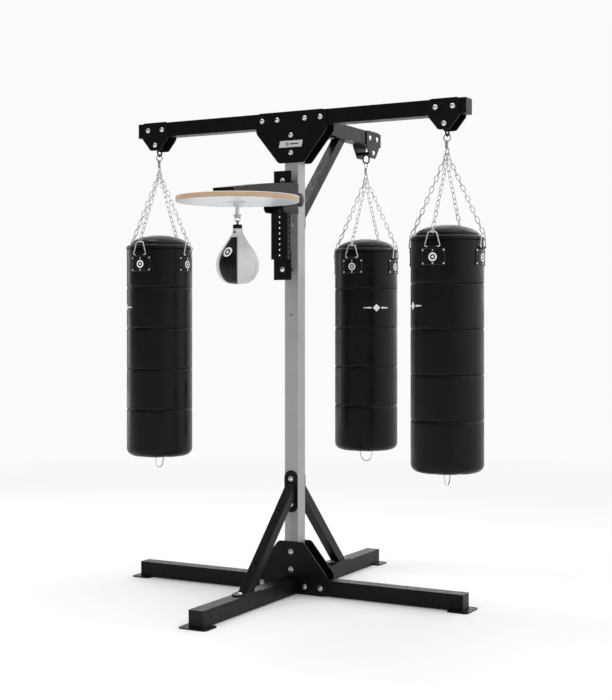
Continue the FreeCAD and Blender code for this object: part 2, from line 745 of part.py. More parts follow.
def make_swivel_tail():
    """Lower half of the swivel: a headed stud on the loop that carries the four chains."""
    half = CHAIN_LOOP_WIDTH / 2
    corners = [
        (-half, CHAIN_LOOP_BOTTOM),
        (half, CHAIN_LOOP_BOTTOM),
        (half, CHAIN_LOOP_TOP),
        (-half, CHAIN_LOOP_TOP),
    ]
    loop = upright_loop(corners, CHAIN_LOOP_CORNER, CHAIN_LOOP_WIRE)
    seat = SWIVEL_BOTTOM + SWIVEL_LIP
    collar_r = SWIVEL_R - SWIVEL_CHAMFER
    collar_top = SWIVEL_BOTTOM - STUD_GAP
    head_r = collar_r - STUD_HEAD_CLEARANCE
    head_top = seat + STUD_HEAD
    stud = revolve(polyline([
        (0, CHAIN_LOOP_TOP), (collar_r, CHAIN_LOOP_TOP), (collar_r, collar_top), (STUD_R, collar_top),
        (STUD_R, seat + STUD_GAP), (head_r, seat + STUD_GAP), (head_r, head_top), (0, head_top),
        (0, CHAIN_LOOP_TOP),
    ]))
    shape = stud.fuse(loop)
    shape.rotate(ORIGIN, Z_AXIS, TAIL_TURN)
    return shape


def make_link():
    """One chain link about the origin, long axis along Z, lying in the plane Y = 0."""
    centre_r = LINK_INNER_WIDTH / 2 + LINK_WIRE
    half = LINK_INNER_LENGTH / 2 + LINK_WIRE
    corners = [(-centre_r, -half), (centre_r, -half), (centre_r, half), (-centre_r, half)]
    return upright_loop(corners, centre_r - 0.05, LINK_WIRE)


def make_chain(angle, shift):
    """One chain from the swivel's loop down to the ring at the given angle round the bag."""
    outward = vec(math.cos(math.radians(angle)), math.sin(math.radians(angle)), 0)
    bar = vec(-1, 1, 0).normalize()
    top = bar * shift + Z_AXIS * CHAIN_LOOP_BOTTOM
    apex = outward * D_RING_RADIUS + Z_AXIS * (D_RING_APEX_Z - D_RING_WIRE)
    run = apex - top
    down = vec(run.x, run.y, run.z).normalize()
    reach = LINK_INNER_LENGTH / 2 - LINK_END_GAP
    top_end = reach - CHAIN_LOOP_WIRE
    low_end = reach - D_RING_WIRE
    pitch = (run.Length - top_end - low_end) / (LINKS - 1)
    first = (bar - down * bar.dot(down)).normalize()
    side = outward.cross(Z_AXIS)
    last = (side - down * side.dot(down)).normalize()
    quarter = down.cross(first)
    twist = math.degrees(math.atan2(last.dot(quarter), last.dot(first)))
    turn = 90 * (LINKS - 1)
    twist = (twist - turn + 90) % 180 - 90
    link = make_link()
    links = []
    for i in range(LINKS):
        angle_i = math.radians((turn + twist) * i / (LINKS - 1))
        normal = first * math.cos(angle_i) + quarter * math.sin(angle_i)
        centre = top + down * (top_end + pitch * i)
        rotation = FreeCAD.Rotation(normal.cross(down), normal, down, "ZYX")
        copy = link.copy()
        copy.Placement = FreeCAD.Placement(centre, rotation)
        links.append(copy)
    return links, pitch


def make_chains():
    links = []
    for angle, shift in TOP_LINK_SHIFTS.items():
        chain, pitch = make_chain(angle, shift)
        links += chain
    print("chain pitch", round(pitch, 2))
    return links


def bag_outline(inset):
    """Closed outline of a bag, moved inwards by inset."""
    r = BAG_R - inset
    bottom = BAG_BOTTOM + inset
    top = BAG_TOP - inset
    corner = BAG_WALL_BOTTOM - bottom
    diagonal = corner * math.sqrt(0.5)
    middle = (r - corner + diagonal, BAG_WALL_BOTTOM - diagonal)
    edges = polyline([(0, top), (0, bottom), (r - corner, bottom)])
    edges.append(arc((r - corner, bottom), middle, (r, BAG_WALL_BOTTOM)))
    edges += polyline([(r, BAG_WALL_BOTTOM), (r, BAG_RIM)])
    dome_r = r - BAG_SHOULDER
    dome_z = BAG_SHOULDER_Z - inset
    shoulder_middle = (r - BAG_SHOULDER * 0.3, BAG_RIM + (dome_z - BAG_RIM) * 0.7)
    edges.append(arc((r, BAG_RIM), shoulder_middle, (dome_r, dome_z)))
    edges.append(cap_arc(dome_r, dome_z, top))
    return revolve(edges)


def sector(r_low, r_high, half_angle, z_low, z_high):
    """A curved plate about the Z axis, centred on +X."""
    ring = Part.makeCylinder(r_high, z_high - z_low, vec(0, 0, z_low), Z_AXIS, 2 * half_angle)
    ring = ring.cut(Part.makeCylinder(r_low, z_high - z_low, vec(0, 0, z_low), Z_AXIS, 360))
    ring.rotate(ORIGIN, Z_AXIS, -half_angle)
    return ring


PATCH_INNER = BAG_R + PATCH_GAP
PATCH_OUTER = PATCH_INNER + PATCH_THICKNESS
RIVET_SPOTS = [(a, z) for a in (-RIVET_ANGLE, 0, RIVET_ANGLE)
               for z in (PATCH_BOTTOM + RIVET_INSET, PATCH_TOP - RIVET_INSET)]


def make_patch():
    """The riveted strap patch on the +X side, with the tube of strap that holds the ring."""
    plate = sector(PATCH_INNER, PATCH_OUTER, PATCH_HALF_ANGLE, PATCH_BOTTOM, PATCH_TOP)
    centre = vec(D_RING_RADIUS, -TAB_HALF_WIDTH, D_RING_FOOT_Z)
    roll = rod(centre, Y_AXIS, 2 * TAB_HALF_WIDTH, TAB_R)
    neck_low = (PATCH_INNER + PATCH_GAP, -TAB_HALF_WIDTH, PATCH_TOP - TAB_NECK)
    neck = box(neck_low, (D_RING_RADIUS, TAB_HALF_WIDTH, D_RING_FOOT_Z))
    shape = plate.fuse([roll, neck])
    shape = shape.cut(rod(centre, Y_AXIS, 2 * TAB_HALF_WIDTH, D_RING_WIRE + TAB_BORE_CLEARANCE))
    for angle, z in RIVET_SPOTS:
        hole_start = vec(PATCH_INNER - PATCH_THICKNESS, 0, z)
        hole = rod(hole_start, X_AXIS, 3 * PATCH_THICKNESS, RIVET_SHANK_R + RUNNING_CLEARANCE)
        hole.rotate(ORIGIN, Z_AXIS, angle)
        shape = shape.cut(hole)
    return shape


def make_base_tab():
    """The strap tab under the bag that holds the tether ring."""
    half = TAB_HALF_WIDTH
    block = box((-half, -TAB_R, BASE_TAB_ROLL_Z), (half, TAB_R, BAG_BOTTOM - PATCH_GAP))
    start = vec(-half, 0, BASE_TAB_ROLL_Z)
    roll = rod(start, X_AXIS, 2 * half, TAB_R)
    bore = rod(start, X_AXIS, 2 * half, D_RING_WIRE + TAB_BORE_CLEARANCE)
    return block.fuse(roll).cut(bore)


def make_base_ring():
    """The bell-shaped tether ring that hangs upside down from the base tab."""
    right = list(BASE_RING_OUTLINE)
    left = [(-x, z) for x, z in reversed(right)]
    return upright_loop(right + left, BASE_RING_CORNER, D_RING_WIRE)


def make_patches():
    patch = make_patch()
    return [turned(patch, angle) for angle in SIDES]


def make_rivets():
    head = PATCH_OUTER + RIVET_HEAD_GAP
    shank_end = PATCH_INNER + PATCH_GAP
    outline = polyline([
        (0, head + RIVET_HEAD_HEIGHT), (0, shank_end), (RIVET_SHANK_R, shank_end),
        (RIVET_SHANK_R, head), (RIVET_HEAD_R, head),
    ])
    outline.append(cap_arc(RIVET_HEAD_R, head, head + RIVET_HEAD_HEIGHT))
    rivet = revolve(outline)
    rivets = []
    for side in SIDES:
        for angle, z in RIVET_SPOTS:
            copy = rivet.copy()
            copy.rotate(ORIGIN, Y_AXIS, 90)
            copy.translate(Z_AXIS * z)
            rivets.append(turned(copy, side + angle))
    return rivets


def make_rings():
    """Four bell-shaped strap rings round the bag."""
    rise = D_RING_APEX_Z - D_RING_FOOT_Z - D_RING_WIRE
    top = D_RING_APEX_R / 2
    shoulder = top + D_RING_SHOULDER[0]
    shoulder_z = rise - D_RING_SHOULDER[1]
    corners = [
        (-D_RING_HALF_WIDTH, 0),
        (D_RING_HALF_WIDTH, 0),
        (shoulder, shoulder_z),
        (top, rise),
        (-top, rise),
        (-shoulder, shoulder_z),
    ]
    ring = upright_loop(corners, D_RING_CORNER, D_RING_WIRE)
    ring.rotate(ORIGIN, Z_AXIS, 90)
    ring.translate(vec(D_RING_RADIUS, 0, D_RING_FOOT_Z))
    return [turned(ring, angle) for angle in SIDES]


def save_bag_stations():
    cover = bag_outline(0).cut(bag_outline(COVER_THICKNESS))
    pinned = {"hanger_eye": [make_eye()], "swivel_head": [make_swivel_head()]}
    tether = {"bag_rings": make_base_ring(), "bag_patches": make_base_tab()}
    hung = {
        "swivel_tail": [make_swivel_tail()],
        "bag_chains": make_chains(),
        "bag_rings": make_rings(),
        "bag_patches": make_patches(),
        "bag_rivets": make_rivets(),
        "bag_cover": [cover],
        "bag_filling": [bag_outline(COVER_THICKNESS + FILL_GAP)],
    }
    for station, (centre, along, _) in STATIONS.items():
        angle = 90 if along == Y_AXIS else 0
        for name, solids in pinned.items():
            save(name + "_" + station, [turned(solid, angle, centre) for solid in solids])
        for name, solids in hung.items():
            placed = [turned(solid, 0, centre) for solid in solids]
            if name in tether:
                placed.append(turned(tether[name], angle + 90, centre))
            save(name + "_" + station, placed)


# ---------------------------------------------------------------- speed-ball station
RAIL_FACE_Y = MOUNT_FACE_Y - RAIL_DEPTH


def rail_heights():
    return [RAIL_FIRST_HOLE + i * RAIL_PITCH for i in range(RAIL_HOLES)]


def make_mount_plate():
    low = (-MOUNT_HALF_WIDTH, MOUNT_FACE_Y, MOUNT_BOTTOM)
    plate = box(low, (MOUNT_HALF_WIDTH, MOUNT_FACE_Y + PLATE, MOUNT_TOP))
    for z in MOUNT_BOLT_Z:
        plate = drill(plate, vec(0, MOUNT_FACE_Y, z), Y_AXIS, PLATE)
    half = MOUNT_WINDOW_HALF_WIDTH
    window_low = (-half, MOUNT_FACE_Y, RAIL_BOTTOM + MOUNT_WINDOW_MARGIN)
    window_high = (half, MOUNT_FACE_Y + PLATE, RAIL_TOP - MOUNT_WINDOW_MARGIN)
    return plate.cut(box(window_low, window_high))


def make_spacers():
    start = MOUNT_FACE_Y + PLATE
    spacers = []
    for z in MOUNT_BOLT_Z:
        tube = rod(vec(0, start, z), Y_AXIS, -HALF - start, SPACER_R)
        spacers.append(drill(tube, vec(0, start, z), Y_AXIS, -HALF - start))
    return spacers


def make_mount_bolts():
    pieces = []
    for z in MOUNT_BOLT_Z:
        pieces += bolt_set(vec(0, MOUNT_FACE_Y, z), Y_AXIS, HALF - MOUNT_FACE_Y)
    return pieces


def make_rail():
    """A channel with a row of sight holes in front and lock holes in the +X side."""
    low = (-RAIL_HALF_WIDTH, RAIL_FACE_Y, RAIL_BOTTOM)
    rail = box(low, (RAIL_HALF_WIDTH, MOUNT_FACE_Y, RAIL_TOP))
    inner = RAIL_HALF_WIDTH - RAIL_WALL
    rail = rail.cut(box((-inner, RAIL_FACE_Y + RAIL_WALL, RAIL_BOTTOM), (inner, MOUNT_FACE_Y, RAIL_TOP)))
    for z in rail_heights():
        rail = drill(rail, vec(0, RAIL_FACE_Y, z), Y_AXIS, RAIL_WALL, RAIL_HOLE_R)
        rail = drill(rail, vec(inner, PIN_Y, z), X_AXIS, RAIL_WALL, LOCK_HOLE_R)
    return rail


def make_glides():
    strips = []
    for side in (-1, 1):
        inner = side * RAIL_HALF_WIDTH
        outer = side * (RAIL_HALF_WIDTH + GLIDE_THICKNESS)
        low = (min(inner, outer), MOUNT_FACE_Y - GLIDE_DEPTH, GLIDE_BOTTOM)
        strips.append(box(low, (max(inner, outer), MOUNT_FACE_Y, RAIL_TOP)))
    return strips


def arm_profile():
    """Side view of the arm and carriage in Y and Z."""
    top = [(ARM_REAR_Y, ARM_REAR_TOP), *ARM_RIDGE, (ARM_TIP_Y, ARM_TIP_TOP)]
    return [(ARM_REAR_Y, ARM_BOTTOM), *top, (ARM_TIP_Y, PLATFORM_TOP), *ARM_HEEL]


def cross_plate(y_start, thickness, z_low, z_high):
    """A plate across the inside of the arm, between its two side plates."""
    low = (-CARRIAGE_INNER, y_start, z_low)
    return box(low, (CARRIAGE_INNER, y_start + thickness, z_high))


def make_arm():
    """Welded arm: two side plates, a sloping top, a floor on the board and cross plates."""
    points = [vec(0, y, z) for y, z in arm_profile()]
    side_face = Part.Face(Part.makePolygon(points + points[:1]))
    thickness = CARRIAGE_OUTER - CARRIAGE_INNER
    pieces = []
    for start in (-CARRIAGE_OUTER, CARRIAGE_INNER):
        side = side_face.extrude(X_AXIS * thickness)
        side.translate(X_AXIS * start)
        pieces.append(side)
    core = side_face.extrude(X_AXIS * (2 * CARRIAGE_INNER))
    core.translate(X_AXIS * -CARRIAGE_INNER)
    under_top = core.copy()
    under_top.translate(Z_AXIS * -PLATE)
    front_cross = RAIL_FACE_Y - PLATE
    rear_cross = MOUNT_FACE_Y + PLATE + thickness / 2
    roof_room = cross_plate(ARM_TIP_Y, front_cross - ARM_TIP_Y, PLATFORM_TOP + 2 * PLATE, ARM_REAR_TOP)
    pieces.append(core.cut(under_top).common(roof_room))
    pieces.append(cross_plate(ARM_TIP_Y, ARM_FLOOR_END_Y - ARM_TIP_Y, PLATFORM_TOP, PLATFORM_TOP + PLATE))
    pieces.append(cross_plate(ARM_TIP_Y, ARM_TIP_PLATE, PLATFORM_TOP, ARM_TIP_TOP))
    pieces.append(cross_plate(front_cross, PLATE - FRONT_CROSS_GAP, *FRONT_CROSS))
    pieces.append(cross_plate(rear_cross, PLATE, *REAR_CROSS))
    barrel_start = vec(CARRIAGE_OUTER, PIN_Y, PIN_Z)
    pieces.append(rod(barrel_start, X_AXIS, BARREL_END_X - CARRIAGE_OUTER, BARREL_R))
    arm = pieces[0].fuse(pieces[1:])
    bore = rod(vec(CARRIAGE_INNER, PIN_Y, PIN_Z), X_AXIS, BARREL_END_X, PIN_R + RUNNING_CLEARANCE)
    arm = arm.cut(bore)
    for point in flange_screw_points() + board_screw_points():
        arm = drill(arm, point + Z_AXIS * PLATFORM_TOP, Z_AXIS, PLATE, SCREW_HOLE_R)
    return arm.removeSplitter()


def make_lock_pin():
    """Plain locking pin, drawn out clear of the rail."""
    length = KNOB_START_X + KNOB_GRIP_ON_PIN - PIN_TIP_X
    return rod(vec(PIN_TIP_X, PIN_Y, PIN_Z), X_AXIS, length, PIN_R)


def make_lock_knob():
    """Round knob pressed on the end of the pin."""
    socket = KNOB_GRIP_ON_PIN
    rim_r = KNOB_R - KNOB_CORNER
    rim_top = KNOB_HUB + 2 * KNOB_CORNER
    height = KNOB_END_X - KNOB_START_X
    outline = polyline([
        (0, socket), (PIN_R, socket), (PIN_R, 0), (KNOB_HUB_R, 0), (KNOB_HUB_R, KNOB_HUB), (rim_r, KNOB_HUB),
    ])
    outline.append(arc((rim_r, KNOB_HUB), (KNOB_R, KNOB_HUB + KNOB_CORNER), (rim_r, rim_top)))
    outline += polyline([(rim_r, rim_top), (KNOB_CROWN_R, height), (0, height), (0, socket)])
    return place(revolve(outline), vec(KNOB_START_X, PIN_Y, PIN_Z), X_AXIS)


def flange_screw_points():
    points = []
    for i in range(4):
        angle = math.radians(45 + 90 * i)
        offset = vec(math.cos(angle), math.sin(angle), 0) * FLANGE_SCREW_CIRCLE
        points.append(vec(0, PLATFORM_Y, 0) + offset)
    return points


def board_screw_points():
    return [vec(sign * BOARD_SCREW_X, y, 0) for sign in (-1, 1) for y in BOARD_SCREW_Y]


def make_platform():
    thickness = PLATFORM_TOP - PLATFORM_BOTTOM
    board = rod(vec(0, PLATFORM_Y, PLATFORM_BOTTOM), Z_AXIS, thickness, PLATFORM_R)
    for point in flange_screw_points():
        board = drill(board, point + Z_AXIS * PLATFORM_BOTTOM, Z_AXIS, thickness, SCREW_HOLE_R)
    for point in board_screw_points():
        pilot_start = point + Z_AXIS * (PLATFORM_TOP - BOARD_PILOT_DEPTH)
        board = board.cut(rod(pilot_start, Z_AXIS, BOARD_PILOT_DEPTH, BOARD_SCREW_R + THREAD_CLEARANCE))
    return board


def make_platform_screws():
    """Four bolts through the swivel's flange and four wood screws from the arm's floor."""
    pieces = []
    seat_z = PLATFORM_BOTTOM - FLANGE
    grip = PLATFORM_TOP + PLATE - seat_z
    bolt = domed_bolt(grip + FLANGE_SCREW_TAIL, FLANGE_SCREW_R, FLANGE_SCREW_HEAD_R)
    nut = hex_nut(FLANGE_SCREW_R, FLANGE_SCREW_HEAD_R, FLANGE_NUT_HEIGHT)
    for point in flange_screw_points():
        pieces.append(place(bolt, point + Z_AXIS * seat_z, Z_AXIS))
        pieces.append(place(nut, point + Z_AXIS * (seat_z + grip), Z_AXIS))
    screw = domed_bolt(PLATE + BOARD_SCREW_DEPTH, BOARD_SCREW_R, BOARD_SCREW_HEAD_R)
    for point in board_screw_points():
        pieces.append(place(screw, point + Z_AXIS * (PLATFORM_TOP + PLATE), Z_AXIS * -1))
    return pieces


def at_ball(shape):
    return turned(shape, 0, vec(0, PLATFORM_Y, 0))


def make_swivel_housing():
    """Flange and bearing cup screwed under the board."""
    mouth = SHANK_R + RUNNING_CLEARANCE
    housing = revolve(polyline([
        (0, PLATFORM_BOTTOM), (0, 1952), (18, 1952), (18, 1941), (mouth, 1941), (mouth, HOUSING_BOTTOM),
        (HOUSING_R - 2, HOUSING_BOTTOM), (HOUSING_R, HOUSING_BOTTOM + 2),
        (HOUSING_R, PLATFORM_BOTTOM - FLANGE), (FLANGE_R, PLATFORM_BOTTOM - FLANGE),
        (FLANGE_R, PLATFORM_BOTTOM), (0, PLATFORM_BOTTOM),
    ]))
    housing = at_ball(housing)
    for point in flange_screw_points():
        flange_face = point + Z_AXIS * (PLATFORM_BOTTOM - FLANGE)
        housing = drill(housing, flange_face, Z_AXIS, FLANGE, SCREW_HOLE_R)
    return housing


def make_shank():
    """The swivel's turning shank, headed inside the cup and cross-bored for the shackle pin."""
    shank = revolve(polyline([
        (0, SHANK_BOTTOM), (SHANK_R - 3, SHANK_BOTTOM), (SHANK_R, SHANK_BOTTOM + 3), (SHANK_R, 1941.4),
        (SHANK_HEAD_R, 1941.4), (SHANK_HEAD_R, 1951), (0, 1951), (0, SHANK_BOTTOM),
    ]))
    bore = rod(vec(-20, 0, SHACKLE_PIN_Z), X_AXIS, 40, SHACKLE_PIN_R + RUNNING_CLEARANCE)
    return at_ball(shank.cut(bore))


def make_shackle():
    """U-shaped shackle with its pin."""
    half = SHACKLE_HALF_WIDTH
    leg_length = SHACKLE_PIN_Z - 4 - BOW_CENTRE_Z
    bow = Part.makeTorus(half, SHACKLE_WIRE, vec(0, 0, BOW_CENTRE_Z), Y_AXIS)
    bow = bow.common(box((-40, -10, BOW_CENTRE_Z - 40), (40, 10, BOW_CENTRE_Z)))
    pieces = [rod(vec(s * half, 0, BOW_CENTRE_Z), Z_AXIS, leg_length, SHACKLE_WIRE) for s in (-1, 1)]
    ear_start = SHANK_R + 0.6
    ear = 5.4
    pieces += [rod(vec(s * ear_start, 0, SHACKLE_PIN_Z), X_AXIS * s, ear, 6.5) for s in (-1, 1)]
    body = bow.fuse(pieces)
    body = body.cut(rod(vec(-30, 0, SHACKLE_PIN_Z), X_AXIS, 60, SHACKLE_PIN_R + RUNNING_CLEARANCE))
    end = ear_start + ear
    pin = rod(vec(-end - 3, 0, SHACKLE_PIN_Z), X_AXIS, 2 * end + 6, SHACKLE_PIN_R)
    heads = [rod(vec(s * (end + 0.1), 0, SHACKLE_PIN_Z), X_AXIS * s, 4, 5.5) for s in (-1, 1)]
    return [at_ball(body), at_ball(pin.fuse(heads))]


def make_collar():
    """Strap collar on the ball's neck with the loop that hangs on the shackle."""
    collar = revolve(polyline([
        (0, COLLAR_BOTTOM), (COLLAR_R, COLLAR_BOTTOM), (COLLAR_R, COLLAR_TOP - 3), (COLLAR_R - 3, COLLAR_TOP),
        (0, COLLAR_TOP), (0, COLLAR_BOTTOM),
    ]))
    loop = Part.makeTorus(BALL_LOOP_MAJOR, BALL_LOOP_WIRE, vec(0, 0, BALL_LOOP_Z), X_AXIS)
    neck = rod(vec(0, 0, COLLAR_TOP - 1), Z_AXIS, BALL_LOOP_Z - BALL_LOOP_MAJOR - COLLAR_TOP + 1, 4.5)
    return at_ball(collar.fuse([loop, neck]))


def ball_outline(inset):
    """A pear shape moved inwards by inset."""
    top = COLLAR_BOTTOM - 0.2 - inset
    neck = (COLLAR_R - inset, top)
    hip = (60.0 - inset, 1757.0 - inset / 2)
    throat = (33.0 - inset, 1801.0 - inset / 2)
    side = (BALL_R - inset, BALL_WIDEST_Z)
    edges = polyline([neck, (0, top), (0, BALL_BOTTOM + inset)])
    edges.append(cap_arc(side[0], BALL_WIDEST_Z, BALL_BOTTOM + inset))
    edges.append(arc(side, (91 - inset, 1710 - inset / 4), hip))
    edges.append(arc(hip, (45.0 - inset, 1780.5 - inset / 2), throat))
    edges += polyline([throat, (26.5 - inset, 1816 - inset / 2), neck])
    return revolve(edges)


def make_ball():
    return at_ball(ball_outline(0).cut(ball_outline(BALL_SKIN)))


# ---------------------------------------------------------------- write the nodes
def main():
    os.makedirs("parts", exist_ok=True)
    save("upright", make_upright())
    save("main_beam", make_main_beam())
    save("base_beam", make_base_beam())
    save("front_leg", make_leg(-1))
    save("rear_leg", make_leg(1))
    save("rear_arm", make_rear_arm())
    upper_tip = UPPER_GUSSET_TOP - GUSSET_HEIGHT
    lower_tip = LOWER_GUSSET_BOTTOM + GUSSET_HEIGHT
    save("upper_gussets", make_gussets(UPPER_GUSSET_TOP, upper_tip, UPPER_BOLTS))
    save("lower_gussets", make_gussets(LOWER_GUSSET_BOTTOM, lower_tip, LOWER_BOLTS))
    save("foot_plates", [turned(make_foot(), angle, end) for angle, end in LEG_ENDS])
    cap = make_end_cap()
    caps = [turned(cap, angle, end + Z_AXIS * (LEG_BOTTOM + HALF)) for angle, end in LEG_ENDS]
    caps += [turned(cap, angle, end + Z_AXIS * (BEAM_BOTTOM + HALF)) for angle, end in HEAD_ENDS]
    save("tube_end_caps", caps)
    save("gusset_bolts", make_gusset_bolts())
    save("label_plaque", make_label())
    save("head_brace", make_head_brace())
    save("front_base_brace", make_base_brace(-1))
    save("rear_base_brace", make_base_brace(1))
    save("brace_bolts", make_brace_bolts())
    save("hanger_plates", make_hanger_plates())
    save("hanger_bolts", make_hanger_bolts())
    save_bag_stations()
    save("speed_mount_plate", make_mount_plate())
    save("speed_spacers", make_spacers())
    save("speed_mount_bolts", make_mount_bolts())
    save("speed_rail", make_rail())
    save("glide_strips", make_glides())
    save("speed_arm", make_arm())
    save("lock_pin", make_lock_pin())
    save("lock_knob", make_lock_knob())
    save("ball_platform", make_platform())
    save("platform_screws", make_platform_screws())
    save("ball_swivel_housing", make_swivel_housing())
    save("ball_swivel_shank", make_shank())
    save("ball_shackle", make_shackle())
    save("ball_collar", make_collar())
    save("speed_ball", make_ball())


main()
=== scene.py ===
import json
import math

import bpy
from mathutils import Matrix, Vector, noise


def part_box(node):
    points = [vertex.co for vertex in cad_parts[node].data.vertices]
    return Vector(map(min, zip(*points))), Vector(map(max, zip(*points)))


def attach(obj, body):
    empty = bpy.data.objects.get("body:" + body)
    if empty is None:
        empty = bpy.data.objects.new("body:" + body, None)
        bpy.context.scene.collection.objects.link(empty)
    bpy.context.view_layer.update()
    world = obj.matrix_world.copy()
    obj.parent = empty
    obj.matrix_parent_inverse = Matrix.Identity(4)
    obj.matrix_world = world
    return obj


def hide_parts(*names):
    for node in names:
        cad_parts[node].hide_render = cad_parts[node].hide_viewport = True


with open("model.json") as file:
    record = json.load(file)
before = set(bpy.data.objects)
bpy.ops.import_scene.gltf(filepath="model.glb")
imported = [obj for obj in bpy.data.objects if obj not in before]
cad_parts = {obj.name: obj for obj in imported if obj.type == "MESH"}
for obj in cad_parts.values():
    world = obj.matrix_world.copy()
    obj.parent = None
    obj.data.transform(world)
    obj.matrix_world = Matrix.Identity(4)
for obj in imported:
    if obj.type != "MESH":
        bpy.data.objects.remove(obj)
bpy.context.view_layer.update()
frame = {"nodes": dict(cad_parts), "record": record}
nodes = frame["nodes"]

MM = 0.001
STATIONS = ("left", "right", "rear")
SIDES = (0, 90, 180, 270)

# heavy bag, in metres, with its ripple and seam steps in millimetres
BAG_CORNER = 48 * MM
BAG_CAP_RISE = 69 * MM
PANEL = 218 * MM
SEAM_DEPTH = 4.2 * MM
SEAM_STEPS = (1.2, 2.6, 4.4, 7.0, 11.0, 17.0, 26.0, 38.0, 54.0, 72.0, 91.0)
BAG_COLUMNS = 144
BAG_SKIN_INSET = 0.9 * MM
BAG_RIPPLE = 0.45
BAG_SWELL_CAP = 4.5 * MM
BAG_STIFFNESS = 22.0
HEM_BELOW_RIM = 7 * MM
HEM_ABOVE_RIM = 14 * MM
SHOULDER = 21 * MM
CLOSING_SEAM_ANGLE = 118
CLOSING_SEAM_DIP = 1.6 * MM
CLOSING_SEAM_REACH = 5 * MM
MARK_ANGLE = {"left": -135, "right": -135, "rear": -45}
MARK_BELOW_SEAM = 105 * MM
PRINT_LIFT = 0.5 * MM

# sewing: pitch, length and thickness of a stitch
WALL_STITCH = (6.2 * MM, 4.4 * MM, 0.9 * MM)
PATCH_STITCH = (4.6 * MM, 3.2 * MM, 0.9 * MM)
BALL_STITCH = (4.0 * MM, 2.9 * MM, 0.75 * MM)
TAB_STITCH = (4.2 * MM, 3 * MM, 0.8 * MM)
STITCH_FROM_SEAM = 6 * MM

# strap patches
PATCH_HALF_WIDTH = 61 * MM
PATCH_CORNER = 6 * MM
PATCH_BORDER = 5.5 * MM
PATCH_THICKNESS = 5.5 * MM
RING_HEIGHT = 74 * MM
RING_WIRE_R = 3 * MM
EMBLEM_R = 21 * MM
PATCH_STITCH_INSET = 3.6 * MM
STRAP_HALF_WIDTH = 22 * MM
STRAP_THICKNESS = 2.2 * MM

# speed ball
BALL_SEAM_ANGLE = -59
BALL_PANELS = 6
BALL_NECK = 41 * MM
BALL_BLACK_PANELS = (2, 5)
BALL_COLUMNS = 96
BALL_ROWS = 76
BALL_SKIN_INSET = 1.2 * MM
BALL_SEAM_DIP = 1.3 * MM
BALL_SEAM_REACH = 3.5 * MM
BALL_SWELL_CAP = 3 * MM
BALL_STIFFNESS = 18.0
BALL_MARK_R = 23 * MM
BALL_MARK_SHARE = 0.565
CORD_SHARE = 0.93

AIR_PRESSURE = 4.0
CLOTH_FRAMES = 20

# welds on the frame
FOOT_WELD = 68 * MM
PLATE = 6 * MM
LEG_BEAD = 2.6 * MM
BRACE_BEAD = 2.4 * MM
BRACE_HALF_WIDTH = 25 * MM
BRACE_HALF_CUT = 35.4 * MM
BASE_BRACE_LINE = 574 * MM
HEAD_BRACE_LINE = 1892 * MM
BRACE_END = (
    (-BRACE_HALF_WIDTH, -BRACE_HALF_CUT),
    (BRACE_HALF_WIDTH, -BRACE_HALF_CUT),
    (BRACE_HALF_WIDTH, BRACE_HALF_CUT),
    (-BRACE_HALF_WIDTH, BRACE_HALF_CUT),
)


# -------- materials
class Look:
    """One procedural material: a Principled shader, and short calls that put nodes before it."""

    def __init__(self, name, colour, roughness, metallic=0.0, specular=0.5):
        self.material = bpy.data.materials.new(name)
        self.material.use_nodes = True
        self.tree = self.material.node_tree
        self.shader = self.tree.nodes["Principled BSDF"]
        self.colour = (*colour, 1.0)
        self.put(self.shader, "Base Color", self.colour)
        self.put(self.shader, "Roughness", roughness)
        self.put(self.shader, "Metallic", metallic)
        self.put(self.shader, "Specular IOR Level", specular)
        self.place = self.node("ShaderNodeTexCoord").outputs["Object"]
        self.material.diffuse_color = self.colour

    def put(self, node, socket, value):
        if isinstance(value, bpy.types.NodeSocket):
            self.tree.links.new(value, node.inputs[socket])
        else:
            node.inputs[socket].default_value = value

    def node(self, kind, inputs=(), **settings):
        made = self.tree.nodes.new(kind)
        for key, value in settings.items():
            setattr(made, key, value)
        for socket, value in dict(inputs).items():
            self.put(made, socket, value)
        return made

    def noise(self, scale, detail=3.0, stretch=None):
        vector = self.place
        if stretch:
            mapping = self.node("ShaderNodeMapping", {"Vector": vector, "Scale": stretch})
            vector = mapping.outputs["Vector"]
        inputs = {"Vector": vector, "Scale": scale, "Detail": detail}
        return self.node("ShaderNodeTexNoise", inputs).outputs["Fac"]

    def cells(self, scale, feature="DISTANCE_TO_EDGE"):
        inputs = {"Vector": self.place, "Scale": scale}
        return self.node("ShaderNodeTexVoronoi", inputs, feature=feature).outputs["Distance"]

    def remap(self, value, low, high, start=0.0, end=1.0):
        inputs = {"Value": value, "From Min": start, "From Max": end, "To Min": low, "To Max": high}
        return self.node("ShaderNodeMapRange", inputs).outputs["Result"]

    def mix(self, share, first, second):
        made = self.node("ShaderNodeMix", data_type="RGBA")
        for index, value in ((0, share), (6, first), (7, second)):
            self.put(made, index, value)
        return made.outputs[2]

    def calculate(self, operation, first, second=0.0):
        made = self.node("ShaderNodeMath", operation=operation)
        self.put(made, 0, first)
        self.put(made, 1, second)
        return made.outputs["Value"]

    def rounded(self, radius):
        """The normal with every edge rounded by the radius."""
        return self.node("ShaderNodeBevel", {"Radius": radius}, samples=4).outputs["Normal"]

    def edges(self, normal):
        """1 where the rounded normal leaves the true one, as it does along an edge."""
        true_normal = self.node("ShaderNodeNewGeometry").outputs["Normal"]
        product = self.node("ShaderNodeVectorMath", operation="DOT_PRODUCT")
        self.put(product, 0, normal)
        self.put(product, 1, true_normal)
        return self.remap(product.outputs["Value"], 1.0, 0.0, 0.82, 0.995)

    def bump(self, height, distance, strength=1.0, normal=None):
        inputs = {"Height": height, "Distance": distance, "Strength": strength}
        if normal is not None:
            inputs["Normal"] = normal
        return self.node("ShaderNodeBump", inputs).outputs["Normal"]

    def finish(self, **sockets):
        for socket, value in sockets.items():
            self.put(self.shader, socket.replace("_", " "), value)
        return self.material


